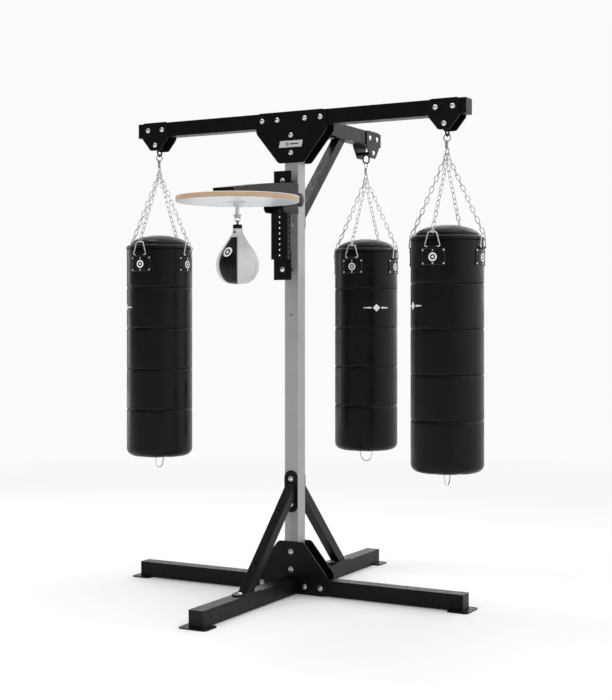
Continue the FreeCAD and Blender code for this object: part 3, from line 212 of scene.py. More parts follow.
def shade(colour, factor):
    return tuple(min(1.0, c * factor) for c in colour[:3]) + (1.0,)


def painted(name, colour, roughness, metallic, specular, edge):
    """Powder coat: a fine orange peel, soft cloudiness, and a painted highlight along the edges,
    where the paint is also taken as thinner.
    """
    look = Look(name, colour, roughness, metallic, specular)
    normal = look.rounded(1.6 * MM)
    clouds = look.noise(5.0, 5.0)
    base = look.mix(clouds, shade(colour, 0.82), shade(colour, 1.18))
    # painted highlight: the colour is lightened along every edge by the edge factor (partly thinned
    # paint, mostly painted edge highlight)
    base = look.mix(look.calculate("MULTIPLY", look.edges(normal), 0.6), base, shade(colour, edge))
    scuffs = look.noise(38.0, 6.0, (1.0, 1.0, 0.35))
    rough = look.remap(scuffs, roughness - 0.07, roughness + 0.09, 0.3, 0.7)
    peel = look.bump(look.noise(650.0, 2.0), 0.12 * MM, 0.55, normal)
    return look.finish(Base_Color=base, Roughness=rough, Normal=peel)


def plated(name, colour, roughness):
    """Zinc or chrome plate with faint spangle and handling marks."""
    look = Look(name, colour, roughness, 1.0)
    normal = look.rounded(0.5 * MM)
    spangle = look.noise(210.0, 4.0)
    base = look.mix(spangle, shade(colour, 0.8), shade(colour, 1.12))
    rough = look.remap(look.noise(90.0, 5.0), roughness - 0.08, roughness + 0.12, 0.3, 0.7)
    grain = look.bump(spangle, 0.05 * MM, 0.5, normal)
    return look.finish(Base_Color=base, Roughness=rough, Normal=grain)


def leather(name, colour, roughness, grain, depth, specular=0.5):
    """Grained leather: fine cells with painted shade in their grooves, soft creases and slightly
    burnished patches.
    """
    look = Look(name, colour, roughness, 0.0, specular)
    cells = look.remap(look.cells(1.0 / grain), 0.0, 1.0, 0.0, 0.35)
    fine = look.noise(2.2 / grain, 3.0)
    height = look.calculate("ADD", cells, look.calculate("MULTIPLY", fine, 0.5))
    grained = look.bump(height, depth, 0.6)
    creased = look.bump(look.noise(26.0, 4.0, (1.0, 1.0, 1.6)), 0.6 * MM, 0.2, grained)
    burnish = look.noise(9.0, 4.0)
    base = look.mix(burnish, shade(colour, 0.8), shade(colour, 1.25))
    # painted shade: the grooves of the grain, at the cells' edges, are darkened
    base = look.mix(look.remap(cells, 0.25, 0.0, 0.0, 0.08), base, shade(colour, 0.55))
    rough = look.remap(burnish, roughness - 0.07, roughness + 0.08, 0.3, 0.7)
    return look.finish(Base_Color=base, Roughness=rough, Normal=creased)


def moulded(name, colour, roughness):
    """Moulded plastic with a fine spark-eroded texture, and a painted highlight along its edges."""
    look = Look(name, colour, roughness, 0.0, 0.18)
    normal = look.rounded(0.8 * MM)
    texture = look.bump(look.noise(1400.0, 2.0), 0.06 * MM, 0.6, normal)
    rough = look.remap(look.noise(30.0, 4.0), roughness - 0.06, roughness + 0.08, 0.3, 0.7)
    # painted highlight: the plastic is lightened along every edge
    base = look.mix(look.edges(normal), shade(colour, 1.0), shade(colour, 1.9))
    return look.finish(Base_Color=base, Roughness=rough, Normal=texture)


def thread(name, colour):
    """Twisted sewing thread."""
    look = Look(name, colour, 0.6)
    twist = look.noise(1500.0, 2.0)
    base = look.mix(twist, shade(colour, 0.7), shade(colour, 1.2))
    return look.finish(Base_Color=base, Normal=look.bump(twist, 0.1 * MM))


def print_ink(name, colour):
    """Screen-printed ink, slightly uneven."""
    look = Look(name, colour, 0.5)
    speckle = look.noise(420.0, 4.0)
    base = look.mix(look.remap(speckle, 0.0, 1.0, 0.55, 0.75), look.colour, shade(colour, 0.85))
    return look.finish(Base_Color=base, Normal=look.bump(look.noise(700.0, 2.0), 0.08 * MM))


def plywood(name, z_low, z_high):
    """Birch board: veneers along the edge, thin pale laminate above and below, and a painted
    highlight along the edge's top rim.
    """
    look = Look(name, (0.56, 0.39, 0.24), 0.55)
    split = look.node("ShaderNodeSeparateXYZ", {"Vector": look.place})
    plies = 9
    level = look.remap(split.outputs["Z"], 0.0, plies, z_low, z_high)
    waver = look.calculate("MULTIPLY", look.noise(60.0, 2.0), 0.25)
    level = look.calculate("ADD", level, waver)
    stripe = look.calculate("PINGPONG", level, 1.0)
    stripe = look.remap(stripe, 0.0, 1.0, 0.35, 0.65)
    fibres = look.noise(240.0, 5.0, (1.0, 1.0, 9.0))
    light = look.mix(fibres, (0.53, 0.37, 0.24, 1), (0.60, 0.45, 0.31, 1))
    dark = look.mix(fibres, (0.34, 0.22, 0.13, 1), (0.44, 0.30, 0.19, 1))
    edge = look.mix(stripe, light, dark)
    # the edge's top 2 mm turn pale: the top laminate's edge, lightened beyond the laminate as a
    # painted highlight of the top rim
    laminate_edge_highlight = look.remap(split.outputs["Z"], 0.0, 1.0, z_high - 2.4 * MM, z_high - 1.8 * MM)
    edge = look.mix(laminate_edge_highlight, edge, (0.80, 0.80, 0.78, 1))
    normal = look.node("ShaderNodeNewGeometry").outputs["True Normal"]
    facing = look.node("ShaderNodeSeparateXYZ", {"Vector": normal}).outputs["Z"]
    flat = look.remap(look.calculate("ABSOLUTE", facing), 0.0, 1.0, 0.5, 0.6)
    haze = look.noise(14.0, 5.0)
    laminate = look.mix(haze, (0.64, 0.685, 0.715, 1), (0.74, 0.775, 0.80, 1))
    base = look.mix(flat, edge, laminate)
    rough = look.calculate("ADD", look.remap(flat, 0.6, 0.34), look.remap(haze, -0.05, 0.05))
    height = look.mix(flat, fibres, look.noise(500.0, 2.0))
    normal = look.bump(height, 0.15 * MM, 0.5, look.rounded(1.2 * MM))
    return look.finish(Base_Color=base, Roughness=rough, Normal=normal)


def brushed_plate(name, colour):
    """Brushed aluminium, the brush strokes running along X."""
    look = Look(name, colour, 0.34, 0.25)
    strokes = look.noise(900.0, 3.0, (0.03, 1.0, 1.0))
    base = look.mix(strokes, shade(colour, 0.82), shade(colour, 1.12))
    rough = look.remap(strokes, 0.26, 0.44, 0.3, 0.7)
    return look.finish(Base_Color=base, Roughness=rough, Normal=look.bump(strokes, 0.04 * MM, 0.6))


def stuffing(name, colour):
    """Shredded textile packed inside the bag."""
    look = Look(name, colour, 0.95)
    shreds = look.cells(60.0, "F1")
    base = look.mix(shreds, shade(colour, 0.6), shade(colour, 1.3))
    return look.finish(Base_Color=base, Normal=look.bump(shreds, 2.0 * MM))


BALL_GRAIN = 1.1 * MM
BALL_BLACK = (0.004, 0.004, 0.0043)
BALL_PALE = (0.57, 0.57, 0.58)
BAG_BLACK = (0.0042, 0.0042, 0.0045)
PAINT_BLACK = (0.0048, 0.0048, 0.0051)
PAINT_SILVER = (0.36, 0.36, 0.365)
board_low, board_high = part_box("ball_platform")
MATERIALS = {
    # the edge numbers set how much each coat is lightened along its edges: a painted edge highlight
    "black_paint": painted("black_powder_coat", PAINT_BLACK, 0.34, 0.0, specular=0.14, edge=6.0),
    "silver_paint": painted("silver_powder_coat", PAINT_SILVER, 0.42, 0.2, specular=0.2, edge=1.25),
    "cap_plastic": moulded("cap_plastic", (0.011, 0.011, 0.012), 0.45),
    "zinc_fasteners": plated("bright_zinc", (0.80, 0.81, 0.82), 0.38),
    "plaque_metal": brushed_plate("brushed_aluminium", (0.66, 0.66, 0.67)),
    "glide_plastic": moulded("glide_plastic", (0.10, 0.10, 0.105), 0.4),
    "knob_plastic": moulded("knob_plastic", (0.010, 0.010, 0.011), 0.38),
    "birch_board": plywood("birch_board", board_low.z, board_high.z),
    "swivel_chrome": plated("satin_chrome", (0.74, 0.75, 0.76), 0.34),
    "collar_leather": leather("collar_leather", BALL_BLACK, 0.45, 1.0 * MM, 0.12 * MM, 0.2),
    "ball_leather": leather("ball_leather_black", BALL_BLACK, 0.42, BALL_GRAIN, 0.12 * MM, 0.2),
    "ball_leather_light": leather("ball_leather_light", BALL_PALE, 0.52, BALL_GRAIN, 0.16 * MM),
    "chain_zinc": plated("chain_zinc", (0.74, 0.745, 0.75), 0.36),
    "strap_leather": leather("strap_leather", BAG_BLACK, 0.36, 1.2 * MM, 0.12 * MM, 0.18),
    "bag_leather": leather("bag_leather", BAG_BLACK, 0.3, 1.6 * MM, 0.05 * MM, 0.16),
    "bag_filling": stuffing("bag_filling", (0.16, 0.15, 0.14)),
    "thread_black": thread("thread_black", (0.02, 0.02, 0.021)),
    "thread_grey": thread("thread_grey", (0.16, 0.16, 0.165)),
    "thread_light": thread("thread_light", (0.50, 0.50, 0.51)),
    "ink_white": print_ink("ink_white", (0.80, 0.80, 0.80)),
    "ink_black": print_ink("ink_black", (0.015, 0.015, 0.016)),
}


def dress(obj, slot):
    """Put a material in every slot of an object."""
    if not obj.material_slots:
        obj.data.materials.append(MATERIALS[slot])
    for holder in obj.material_slots:
        holder.link = "OBJECT"
        holder.material = MATERIALS[slot]


def dress_cad_nodes():
    for part in frame["record"]["subparts"]:
        dress(nodes[part["node"]], part["material_slot"])


# -------- mesh helpers
def link(obj):
    bpy.context.scene.collection.objects.link(obj)


def add_mesh(name, vertices, faces, slot, body=None):
    mesh = bpy.data.meshes.new(name)
    mesh.from_pydata([tuple(v) for v in vertices], [], faces)
    mesh.validate()
    mesh.polygons.foreach_set("use_smooth", [True] * len(mesh.polygons))
    mesh.update()
    obj = bpy.data.objects.new(name, mesh)
    link(obj)
    obj.data.materials.append(MATERIALS[slot])
    if body is not None:
        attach(obj, body)
    return obj


class Build:
    """Vertices and faces gathered from several shapes into one mesh."""

    def __init__(self):
        self.vertices = []
        self.faces = []

    def add(self, vertices, faces):
        start = len(self.vertices)
        self.vertices += vertices
        self.faces += [tuple(start + i for i in face) for face in faces]

    def grid(self, rows, close_rows=False, close_columns=False, flip=False):
        """Quads between rows of points, each row as long as the others."""
        count = len(rows[0])
        faces = []
        for i in range(len(rows) if close_rows else len(rows) - 1):
            for j in range(count if close_columns else count - 1):
                a = i * count + j
                b = i * count + (j + 1) % count
                c = (i + 1) % len(rows) * count
                quad = (a, b, c + (j + 1) % count, c + j)
                faces.append(quad[::-1] if flip else quad)
        self.add([p for row in rows for p in row], faces)

    def tube(self, path, radius, sides=8, closed=False):
        """Round tube along a path; radius is a number or a function of the share along the path."""
        rows = []
        count = len(path)
        side = None
        for i, point in enumerate(path):
            before = path[i - 1] if closed or i else path[0]
            after = path[(i + 1) % count] if closed or i < count - 1 else path[-1]
            along = (after - before).normalized()
            if side is None:
                side = along.orthogonal().normalized()
            side = (side - along * side.dot(along)).normalized()
            across = along.cross(side)
            r = radius(i / max(1, count - 1)) if callable(radius) else radius
            ring = []
            for k in range(sides):
                angle = math.tau * k / sides
                ring.append(point + (side * math.cos(angle) + across * math.sin(angle)) * r)
            rows.append(ring)
        self.grid(rows, close_rows=closed, close_columns=True)
        if not closed:
            start = len(self.vertices) - count * sides
            self.faces.append(tuple(reversed(range(start, start + sides))))
            self.faces.append(tuple(range(len(self.vertices) - sides, len(self.vertices))))

    def stitches(self, path, normals, pitch, length, thickness, closed=False):
        """Thread stitches laid along a path: short bowed capsules that dip in at both ends."""
        ends = zip(path, path[1:] + path[:1] if closed else path[1:])
        steps = [(after - before).length for before, after in ends]
        total = sum(steps)
        number = max(1, round(total / pitch))
        gap = total / number
        for n in range(number):
            points = []
            for share in (-0.5, -0.3, 0.0, 0.3, 0.5):
                at = (n + 0.5) * gap + share * length
                point, normal = self.along(path, normals, steps, at)
                lift = thickness * (0.45 - 2.6 * share * share)
                points.append(point + normal * lift)
            self.tube(points, lambda s: thickness * (0.5 - 0.8 * (s - 0.5) ** 2), 5)

    @staticmethod
    def along(path, normals, steps, distance):
        """The point and normal at a distance along a path."""
        i = 0
        while i < len(steps) - 1 and distance > steps[i]:
            distance -= steps[i]
            i += 1
        share = distance / steps[i]
        after = (i + 1) % len(path)
        return path[i].lerp(path[after], share), normals[i].lerp(normals[after], share).normalized()

    def make(self, name, slot, body=None):
        return add_mesh(name, self.vertices, self.faces, slot, body)


def polar(angle, radius, z=0.0):
    """A point about the Z axis; the angle is in degrees."""
    turn = math.radians(angle)
    return Vector((radius * math.cos(turn), radius * math.sin(turn), z))


def spin(angle, size):
    """A turn about Z, as a matrix of that size."""
    return Matrix.Rotation(math.radians(angle), size, "Z")


def circle(radius, z, count):
    return [polar(360 * i / count, radius, z) for i in range(count)]


def arc(x, z, radius, start, sweep, steps):
    """Points along an arc in a section; the angles are in degrees."""
    turns = [math.radians(start + sweep * i / steps) for i in range(steps + 1)]
    return [(x + radius * math.cos(t), z + radius * math.sin(t)) for t in turns]


def capped_revolve(build, outline, count):
    """Turn an outline of (radius, height) that starts and ends near the axis; close its poles."""
    start = len(build.vertices)
    build.grid([circle(r, z, count) for r, z in outline], close_columns=True)
    low = len(build.vertices)
    build.vertices.append(Vector((0, 0, outline[0][1])))
    build.vertices.append(Vector((0, 0, outline[-1][1])))
    last = start + (len(outline) - 1) * count
    for i in range(count):
        after = (i + 1) % count
        build.faces.append((low, start + after, start + i))
        build.faces.append((low + 1, last + i, last + after))


def inflate(obj, pinned, pressure, cap, stiffness):
    """Fill a closed mesh with pressure by cloth simulation; no point moves further than the cap."""
    scene = bpy.context.scene
    start = [v.co.copy() for v in obj.data.vertices]
    group = obj.vertex_groups.new(name="held")
    group.add(pinned, 1.0, "REPLACE")
    cloth = obj.modifiers.new("Cloth", "CLOTH")
    settings = cloth.settings
    settings.quality = 5
    settings.mass = 0.4
    settings.tension_stiffness = stiffness
    settings.compression_stiffness = stiffness
    settings.shear_stiffness = stiffness / 3
    settings.bending_stiffness = 1.5
    settings.shrink_min = -0.012
    settings.use_pressure = True
    settings.uniform_pressure_force = pressure
    settings.vertex_group_mass = group.name
    settings.effector_weights.gravity = 0.0
    cloth.collision_settings.use_collision = False
    cloth.point_cache.frame_start = 1
    cloth.point_cache.frame_end = CLOTH_FRAMES
    for step in range(1, CLOTH_FRAMES + 1):
        scene.frame_set(step)
    settled = obj.evaluated_get(bpy.context.evaluated_depsgraph_get())
    moved = [v.co.copy() for v in settled.data.vertices]
    obj.modifiers.remove(cloth)
    scene.frame_set(1)
    for vertex, old, new in zip(obj.data.vertices, start, moved):
        step = new - old
        if step.length > cap:
            step = step.normalized() * cap
        vertex.co = old + step
    obj.vertex_groups.remove(group)
    obj.data.update()


def settle(obj, low, high, reach, least=0.0):
    """Keep a swollen shape between two heights and within its reach of the axis at each height."""
    for vertex in obj.data.vertices:
        co = vertex.co
        co.z = min(high, max(low, co.z))
        limit = reach(co.z)
        around = math.hypot(co.x, co.y)
        if around > max(limit, least):
            co.x *= limit / around
            co.y *= limit / around


# -------- heavy bags
def axis_point(node):
    """Where a round node's upright axis meets the floor."""
    low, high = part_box(node)
    return Vector(((low.x + high.x) / 2, (low.y + high.y) / 2, 0.0))


bag_low, bag_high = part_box("bag_cover_left")
BAG_R = (bag_high.x - bag_low.x) / 2
BAG_BOTTOM = bag_low.z
BAG_TOP = bag_high.z
BAG_RIM = BAG_TOP - BAG_CAP_RISE
WALL_BOTTOM = BAG_BOTTOM + BAG_CORNER
SEAMS = [BAG_RIM - PANEL * i for i in (4, 3, 2, 1)]
DOME_EDGE = BAG_RIM + HEM_ABOVE_RIM
DOME_R = BAG_R - SHOULDER


def dome_height(radius):
    """The stuffed lid swells like a flat ellipsoid inside the hem."""
    share = min(1.0, radius / DOME_R)
    return DOME_EDGE + (BAG_TOP - DOME_EDGE) * math.sqrt(1 - share * share)


def seam_dip(z):
    """How far the wall is drawn in at a height; it swells out quickly away from each seam."""
    near = min(abs(z - seam) for seam in SEAMS + [BAG_RIM - HEM_BELOW_RIM])
    return SEAM_DEPTH * math.exp(-((near / (3.6 * MM)) ** 1.4))


def bag_rows():
    """Rows of (radius, height, held): from the base's middle, up the wall, to the dome's middle."""
    flat = BAG_R - BAG_CORNER
    rows = [(flat * i / 9, BAG_BOTTOM + 0.5 * MM, i == 1) for i in range(1, 9)]
    for i in range(9):
        angle = math.radians(90 * i / 8)
        z = WALL_BOTTOM - BAG_CORNER * math.cos(angle)
        rows.append((flat + BAG_CORNER * math.sin(angle), z, False))
    heights = [WALL_BOTTOM + 12 * MM * i for i in range(1, 8)]
    for seam in SEAMS + [BAG_RIM]:
        heights += [seam - step * MM for step in reversed(SEAM_STEPS)] + [seam]
        if seam < BAG_RIM:
            heights += [seam + step * MM for step in SEAM_STEPS]
    for z in heights:
        if z < BAG_RIM - HEM_BELOW_RIM:
            rows.append((BAG_R - BAG_SKIN_INSET - seam_dip(z), z, z in SEAMS))
    rows.append((BAG_R - SEAM_DEPTH, BAG_RIM - HEM_BELOW_RIM, True))
    rows.append((DOME_R - 2 * MM, DOME_EDGE - 3 * MM, True))
    for i in range(1, 22):
        angle = math.radians(90 * i / 22)
        radius = (DOME_R - 1.5 * MM) * math.cos(angle)
        rows.append((radius, dome_height(radius) - 1.5 * MM, False))
    return rows


def bag_body():
    """The filled cover: a cloth simulation swells each panel between its held seams."""
    rows = bag_rows()
    build = Build()
    capped_revolve(build, [(r, z) for r, z, _ in rows], BAG_COLUMNS)
    body = build.make("bag_body", "bag_leather")
    held = [i * BAG_COLUMNS + j for i, row in enumerate(rows) if row[2] for j in range(BAG_COLUMNS)]
    for vertex in body.data.vertices:
        outward = Vector((vertex.co.x, vertex.co.y, 0))
        if outward.length > BAG_R / 2:
            ripple = noise.noise(Vector((vertex.co.x * 14, vertex.co.y * 14, vertex.co.z * 9)))
            vertex.co += outward.normalized() * ripple * BAG_RIPPLE * MM
    inflate(body, held, AIR_PRESSURE, BAG_SWELL_CAP, BAG_STIFFNESS)
    settle(body, BAG_BOTTOM, BAG_TOP, lambda z: BAG_R)
    pull_closing_seam(body)
    return body


def pull_closing_seam(body):
    """A shallow valley where the cover's wall is sewn shut."""
    direction = polar(CLOSING_SEAM_ANGLE, 1.0)
    for vertex in body.data.vertices:
        co = vertex.co
        if WALL_BOTTOM < co.z < BAG_RIM and co.x * direction.x + co.y * direction.y > 0:
            off = abs(co.x * direction.y - co.y * direction.x)
            dip = CLOSING_SEAM_DIP * math.exp(-((off / CLOSING_SEAM_REACH) ** 2))
            scale = 1 - dip / math.hypot(co.x, co.y)
            co.x *= scale
            co.y *= scale


def wall_radius(body, height):
    """The widest the settled cover is near a height, for what is sewn or printed on it."""
    near = [v.co for v in body.data.vertices if abs(v.co.z - height) < 2.5 * MM]
    reach = [math.hypot(co.x, co.y) for co in near]
    return max(reach, default=BAG_R)


def seam_stitches(body):
    """A row of stitches above and below each panel seam, and two rows down the closing seam."""
    build = Build()
    around = 180
    for seam in SEAMS:
        for offset in (-STITCH_FROM_SEAM, STITCH_FROM_SEAM):
            z = seam + offset
            path = circle(wall_radius(body, z), z, around)
            normals = circle(1.0, 0.0, around)
            build.stitches(path, normals, *WALL_STITCH, closed=True)
    for side in (-2.2, 2.2):
        for seam in SEAMS + [BAG_RIM]:
            low = seam - PANEL + 9 * MM
            angle = CLOSING_SEAM_ANGLE + side
            heights = [low + (PANEL - 18 * MM) * i / 24 for i in range(25)]
            path = [polar(angle, BAG_R - 0.7 * MM, z) for z in heights]
            normals = [polar(angle, 1.0)] * len(path)
            build.stitches(path, normals, *WALL_STITCH)
    return build.make("bag_stitching", "thread_black")


def hem_band():
    """The lid's skirt: a turned-over band proud of the wall, with a corded upper edge."""
    build = Build()
    low = BAG_RIM - HEM_BELOW_RIM
    skirt = ((-4.0, 2.0), (1.6, -0.6), (3.4, 0.0), (3.8, 1.6), (3.0, 5.0))
    outline = [(BAG_R + out * MM, low + up * MM) for out, up in skirt]
    for i in range(1, 9):
        angle = math.radians(90 * i / 8)
        radius = DOME_R + (SHOULDER + 2.6 * MM) * math.cos(angle) ** 0.8
        outline.append((radius, low + 6 * MM + 15 * MM * math.sin(angle)))
    outline.append((DOME_R - 4 * MM, DOME_EDGE - 3 * MM))
    turns = [360 * i / BAG_COLUMNS for i in range(BAG_COLUMNS)]
    waves = [noise.noise(polar(t, 1.0) * 6.0) * 0.5 * MM for t in turns]
    rows = [[polar(t, r + w * 0.4, z + w) for t, w in zip(turns, waves)] for r, z in outline]
    build.grid(rows, close_columns=True)
    band = build.make("bag_hem", "bag_leather")
    refine(band)
    cord = Build()
    edge = circle(DOME_R + 0.5 * MM, DOME_EDGE + 0.6 * MM, BAG_COLUMNS)
    cord.tube(edge, 2.4 * MM, 10, closed=True)
    piping = cord.make("bag_piping", "strap_leather")
    sewing = Build()
    path = circle(BAG_R + 3.1 * MM, low + 4.2 * MM, 180)
    sewing.stitches(path, circle(1.0, 0.0, 180), *WALL_STITCH, closed=True)
    return [band, piping, sewing.make("bag_hem_stitching", "thread_black")]


def refine(obj):
    modifier = obj.modifiers.new("Subdivision", "SUBSURF")
    modifier.levels = 1
    modifier.render_levels = 1


def on_wall(across, height, radius):
    """A point at a distance round the bag from the +X side, in the bag's own frame."""
    return polar(math.degrees(across / BAG_R), radius, height)


def patch_shape(low, high, inner, outer):
    """One leather patch on the +X side: rounded corners, a pressed border and a soft edge."""
    build = Build()
    columns, rows = 44, 30
    middle, half_height = (low + high) / 2, (high - low) / 2
    surface = []
    for i in range(rows + 1):
        v = -1 + 2 * i / rows
        surface.append([])
        for j in range(columns + 1):
            u = -1 + 2 * j / columns
            x = math.copysign(abs(u) ** 0.8, u) * PATCH_HALF_WIDTH
            z = math.copysign(abs(v) ** 0.8, v) * half_height
            inset_x = PATCH_HALF_WIDTH - abs(x)
            inset_z = half_height - abs(z)
            if inset_x < PATCH_CORNER and inset_z < PATCH_CORNER:
                cut = (PATCH_CORNER - inset_x) * (PATCH_CORNER - inset_z) / PATCH_CORNER * 0.29
                x -= math.copysign(cut, x)
                z -= math.copysign(cut, z)
            edge = min(inset_x, inset_z)
            lift = 1 - math.exp(-edge / (0.9 * MM))
            groove = 0.55 * MM * math.exp(-(((edge - PATCH_STITCH_INSET) / (0.9 * MM)) ** 2))
            pillow = 0.5 * MM * min(1.0, edge / (14 * MM))
            radius = inner + (outer - inner - 1.1 * MM) * lift - groove + pillow
            surface[-1].append(on_wall(x, middle + z, radius))
    build.grid(surface)
    right = [row[-1] for row in surface]
    left = [row[0] for row in surface]
    for edge in (surface[0], right, surface[-1][::-1], left[::-1]):
        inward = [Vector((p.x, p.y, 0)).normalized() * 1.6 * MM for p in edge]
        build.grid([[p - d for p, d in zip(edge, inward)], edge])
    return build


def patch_stitching(low, high, outer):
    """A rounded rectangle of light-catching stitches inside the patch's border."""
    build = Build()
    across = PATCH_HALF_WIDTH - PATCH_STITCH_INSET
    half_height = (high - low) / 2 - PATCH_STITCH_INSET
    middle = (low + high) / 2
    corners = [(-across, -half_height), (across, -half_height)]
    corners += [(across, half_height), (-across, half_height)]
    path = []
    for (x0, z0), (x1, z1) in zip(corners, corners[1:] + corners[:1]):
        for i in range(24):
            share = i / 24
            x = x0 + (x1 - x0) * share
            z = middle + z0 + (z1 - z0) * share
            path.append(on_wall(x, z, outer - 1.5 * MM))
    normals = [Vector((p.x, p.y, 0)).normalized() for p in path]
    build.stitches(path, normals, *PATCH_STITCH, closed=True)
    return build


def close_sides(build, rows, flip_far=False):
    """Close both sides of a folded strip, whose two layers are the two halves of its rows."""
    count, total = len(rows[0]), len(rows)
    for end in (0, count - 1):
        for i in range(total // 2 - 1):
            quad = tuple(k * count + end for k in (i, i + 1, total - 2 - i, total - 1 - i))
            build.faces.append(quad[::-1] if flip_far and end else quad)


def strap_shape(ring_low, ring_r, patch_top):
    """The strap that folds over the ring's foot and comes out from under the patch."""
    build = Build()
    wrap = 5.6 * MM
    path = [(BAG_R + 2.6 * MM, patch_top - 6 * MM), (BAG_R + 3.4 * MM, patch_top + 0.5 * MM)]
    path.append((ring_r + wrap - 0.6 * MM, ring_low - 4 * MM))
    path += arc(ring_r, ring_low, wrap, -10, 200, 12)
    path.append((ring_r - wrap - 0.2 * MM, ring_low - 8 * MM))
    rows = []
    for side, shift in ((1, STRAP_THICKNESS / 2), (-1, -STRAP_THICKNESS / 2)):
        line = []
        for i, (r, z) in enumerate(path):
            before = path[max(0, i - 1)]
            after = path[min(len(path) - 1, i + 1)]
            run = math.hypot(after[0] - before[0], after[1] - before[1])
            normal = ((after[1] - before[1]) / run, -(after[0] - before[0]) / run)
            line.append((r + normal[0] * shift, z + normal[1] * shift))
        rows += line if side > 0 else line[::-1]
    widths = [-1, -0.985, -0.9, -0.5, 0, 0.5, 0.9, 0.985, 1]
    loops = [[Vector((r, w * STRAP_HALF_WIDTH, z)) for w in widths] for r, z in rows]
    build.grid(loops, close_rows=True, flip=True)
    close_sides(build, loops, True)
    return build


def ring_mark(build, centre_x, centre_z, size, place):
    """A plain printed ring with a dot in it."""
    turns = [math.tau * i / 40 for i in range(40)]
    for inner, outer in ((0.62, 1.0), (0.0, 0.3)):
        rows = []
        for share in (0.0, 0.5, 1.0):
            r = size * (inner + (outer - inner) * share)
            spots = [(centre_x + r * math.cos(t), centre_z + r * math.sin(t)) for t in turns]
            rows.append([place(x, z) for x, z in spots])
        build.grid(rows, close_columns=True, flip=True)


def lozenge_mark(build, centre_z, place):
    """A plain printed lozenge between two tapering bars."""
    bar, lozenge = 5, 21
    for low, high, tall in ((-75, -30, bar), (-22, 22, lozenge), (30, 75, bar)):
        columns = []
        for i in range(13):
            share = i / 12
            across = (low + (high - low) * share) * MM
            if tall == lozenge:
                half = lozenge * MM * (1 - abs(2 * share - 1))
            else:
                toward_middle = share if low < 0 else 1 - share
                half = tall * MM * (0.35 + 0.65 * toward_middle)
            columns.append([place(across, centre_z + half * (2 * j / 4 - 1)) for j in range(5)])
        build.grid(columns, flip=True)


def make_bags():
    body = bag_body()
    stitching = seam_stitches(body)
    hem = hem_band()
    ring_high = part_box("bag_rings_left")[1]
    rivet_low, rivet_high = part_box("bag_rivets_left")
    centre = axis_point("bag_cover_left")
    outer = BAG_R + PATCH_THICKNESS
    inner = BAG_R + 0.4 * MM
    low = rivet_low.z - PATCH_BORDER
    high = rivet_high.z + PATCH_BORDER
    foot_z = ring_high.z - RING_HEIGHT
    ring_r = ring_high.x - centre.x - RING_WIRE_R
    shapes = {
        "patch": (patch_shape(low, high, inner, outer), "strap_leather"),
        "patch_stitching": (patch_stitching(low, high, outer), "thread_grey"),
        "ring_strap": (strap_shape(foot_z, ring_r, high), "strap_leather"),
    }
    emblem = Build()
    emblem_z = (low + high) / 2 - 1 * MM
    ring_mark(emblem, 0.0, emblem_z, EMBLEM_R, lambda x, z: on_wall(x, z, outer - 0.45 * MM))
    shapes["patch_mark"] = (emblem, "ink_white")
    word = Build()
    word_z = SEAMS[-1] - MARK_BELOW_SEAM
    lozenge_mark(word, word_z, lambda x, z: on_wall(x, z, BAG_R + PRINT_LIFT))
    parts = {}
    for name, (build, slot) in shapes.items():
        four = Build()
        for angle in SIDES:
            turn = spin(angle, 3)
            four.add([turn @ v for v in build.vertices], build.faces)
        parts[name] = four.make("bag_" + name, slot)
    parts["word"] = word.make("bag_word", "ink_white")
    for obj in (body, parts["patch"], parts["ring_strap"]):
        refine(obj)
    originals = [body, stitching, *hem, *parts.values()]
    for station in STATIONS:
        here = axis_point("bag_cover_" + station)
        for original in originals:
            copy = original.copy()
            copy.name = original.name + "_" + station
            angle = 90 if station == "rear" else 0
            if original == parts["word"]:
                angle = MARK_ANGLE[station]
            copy.matrix_world = Matrix.Translation(here) @ spin(angle, 4)
            link(copy)
            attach(copy, station + "_bag")
            if original == body:
                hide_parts("bag_cover_" + station, "bag_filling_" + station)
            if original == parts["patch"]:
                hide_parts("bag_patches_" + station)
        add_base_tab(station, here)
    for original in originals:
        bpy.data.objects.remove(original)


def add_base_tab(station, here):
    """The strap tab under the bag, folded round the straight foot of the tether ring."""
    foot = BAG_BOTTOM - 8 * MM
    wrap = 4.6 * MM
    path = [(-wrap, BAG_BOTTOM + 1 * MM), (-wrap, foot + 2 * MM)]
    path += arc(0.0, foot, wrap, 180, 180, 10)
    path += [(wrap, foot + 2 * MM), (wrap, BAG_BOTTOM + 1 * MM)]
    widths = (-1, -0.96, -0.5, 0, 0.5, 0.96, 1)
    rows = []
    for shift in (STRAP_THICKNESS / 2, -STRAP_THICKNESS / 2):
        line = []
        for y, z in path:
            away = Vector((0, y, z - foot)) if z < foot + 1 * MM else Vector((0, y, 0))
            away = away.normalized() * shift
            line.append([Vector((w * STRAP_HALF_WIDTH, y, z)) + away for w in widths])
        rows += line if shift > 0 else line[::-1]
    build = Build()
    build.grid(rows, close_rows=True)
    close_sides(build, rows)
    turn = spin(0 if station == "rear" else 90, 3)
    build.vertices = [turn @ v + here for v in build.vertices]
    tab = build.make("bag_base_tab_" + station, "strap_leather", station + "_bag")
    refine(tab)
    sewing = Build()
    for side in (-1, 1):
        face_y = side * (wrap + STRAP_THICKNESS / 2)
        line = [Vector((x * MM, face_y, BAG_BOTTOM - 3 * MM)) for x in range(-19, 20, 2)]
        path = [turn @ point + here for point in line]
        sewing.stitches(path, [turn @ Vector((0, side, 0))] * len(path), *TAB_STITCH)
    sewing.make("bag_base_tab_stitching_" + station, "thread_black", station + "_bag")


# -------- speed ball
ball_low, ball_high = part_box("speed_ball")
BALL_CENTRE = axis_point("speed_ball")
BALL_R = (ball_high.x - ball_low.x) / 2
BALL_HEIGHT = ball_high.z - ball_low.z

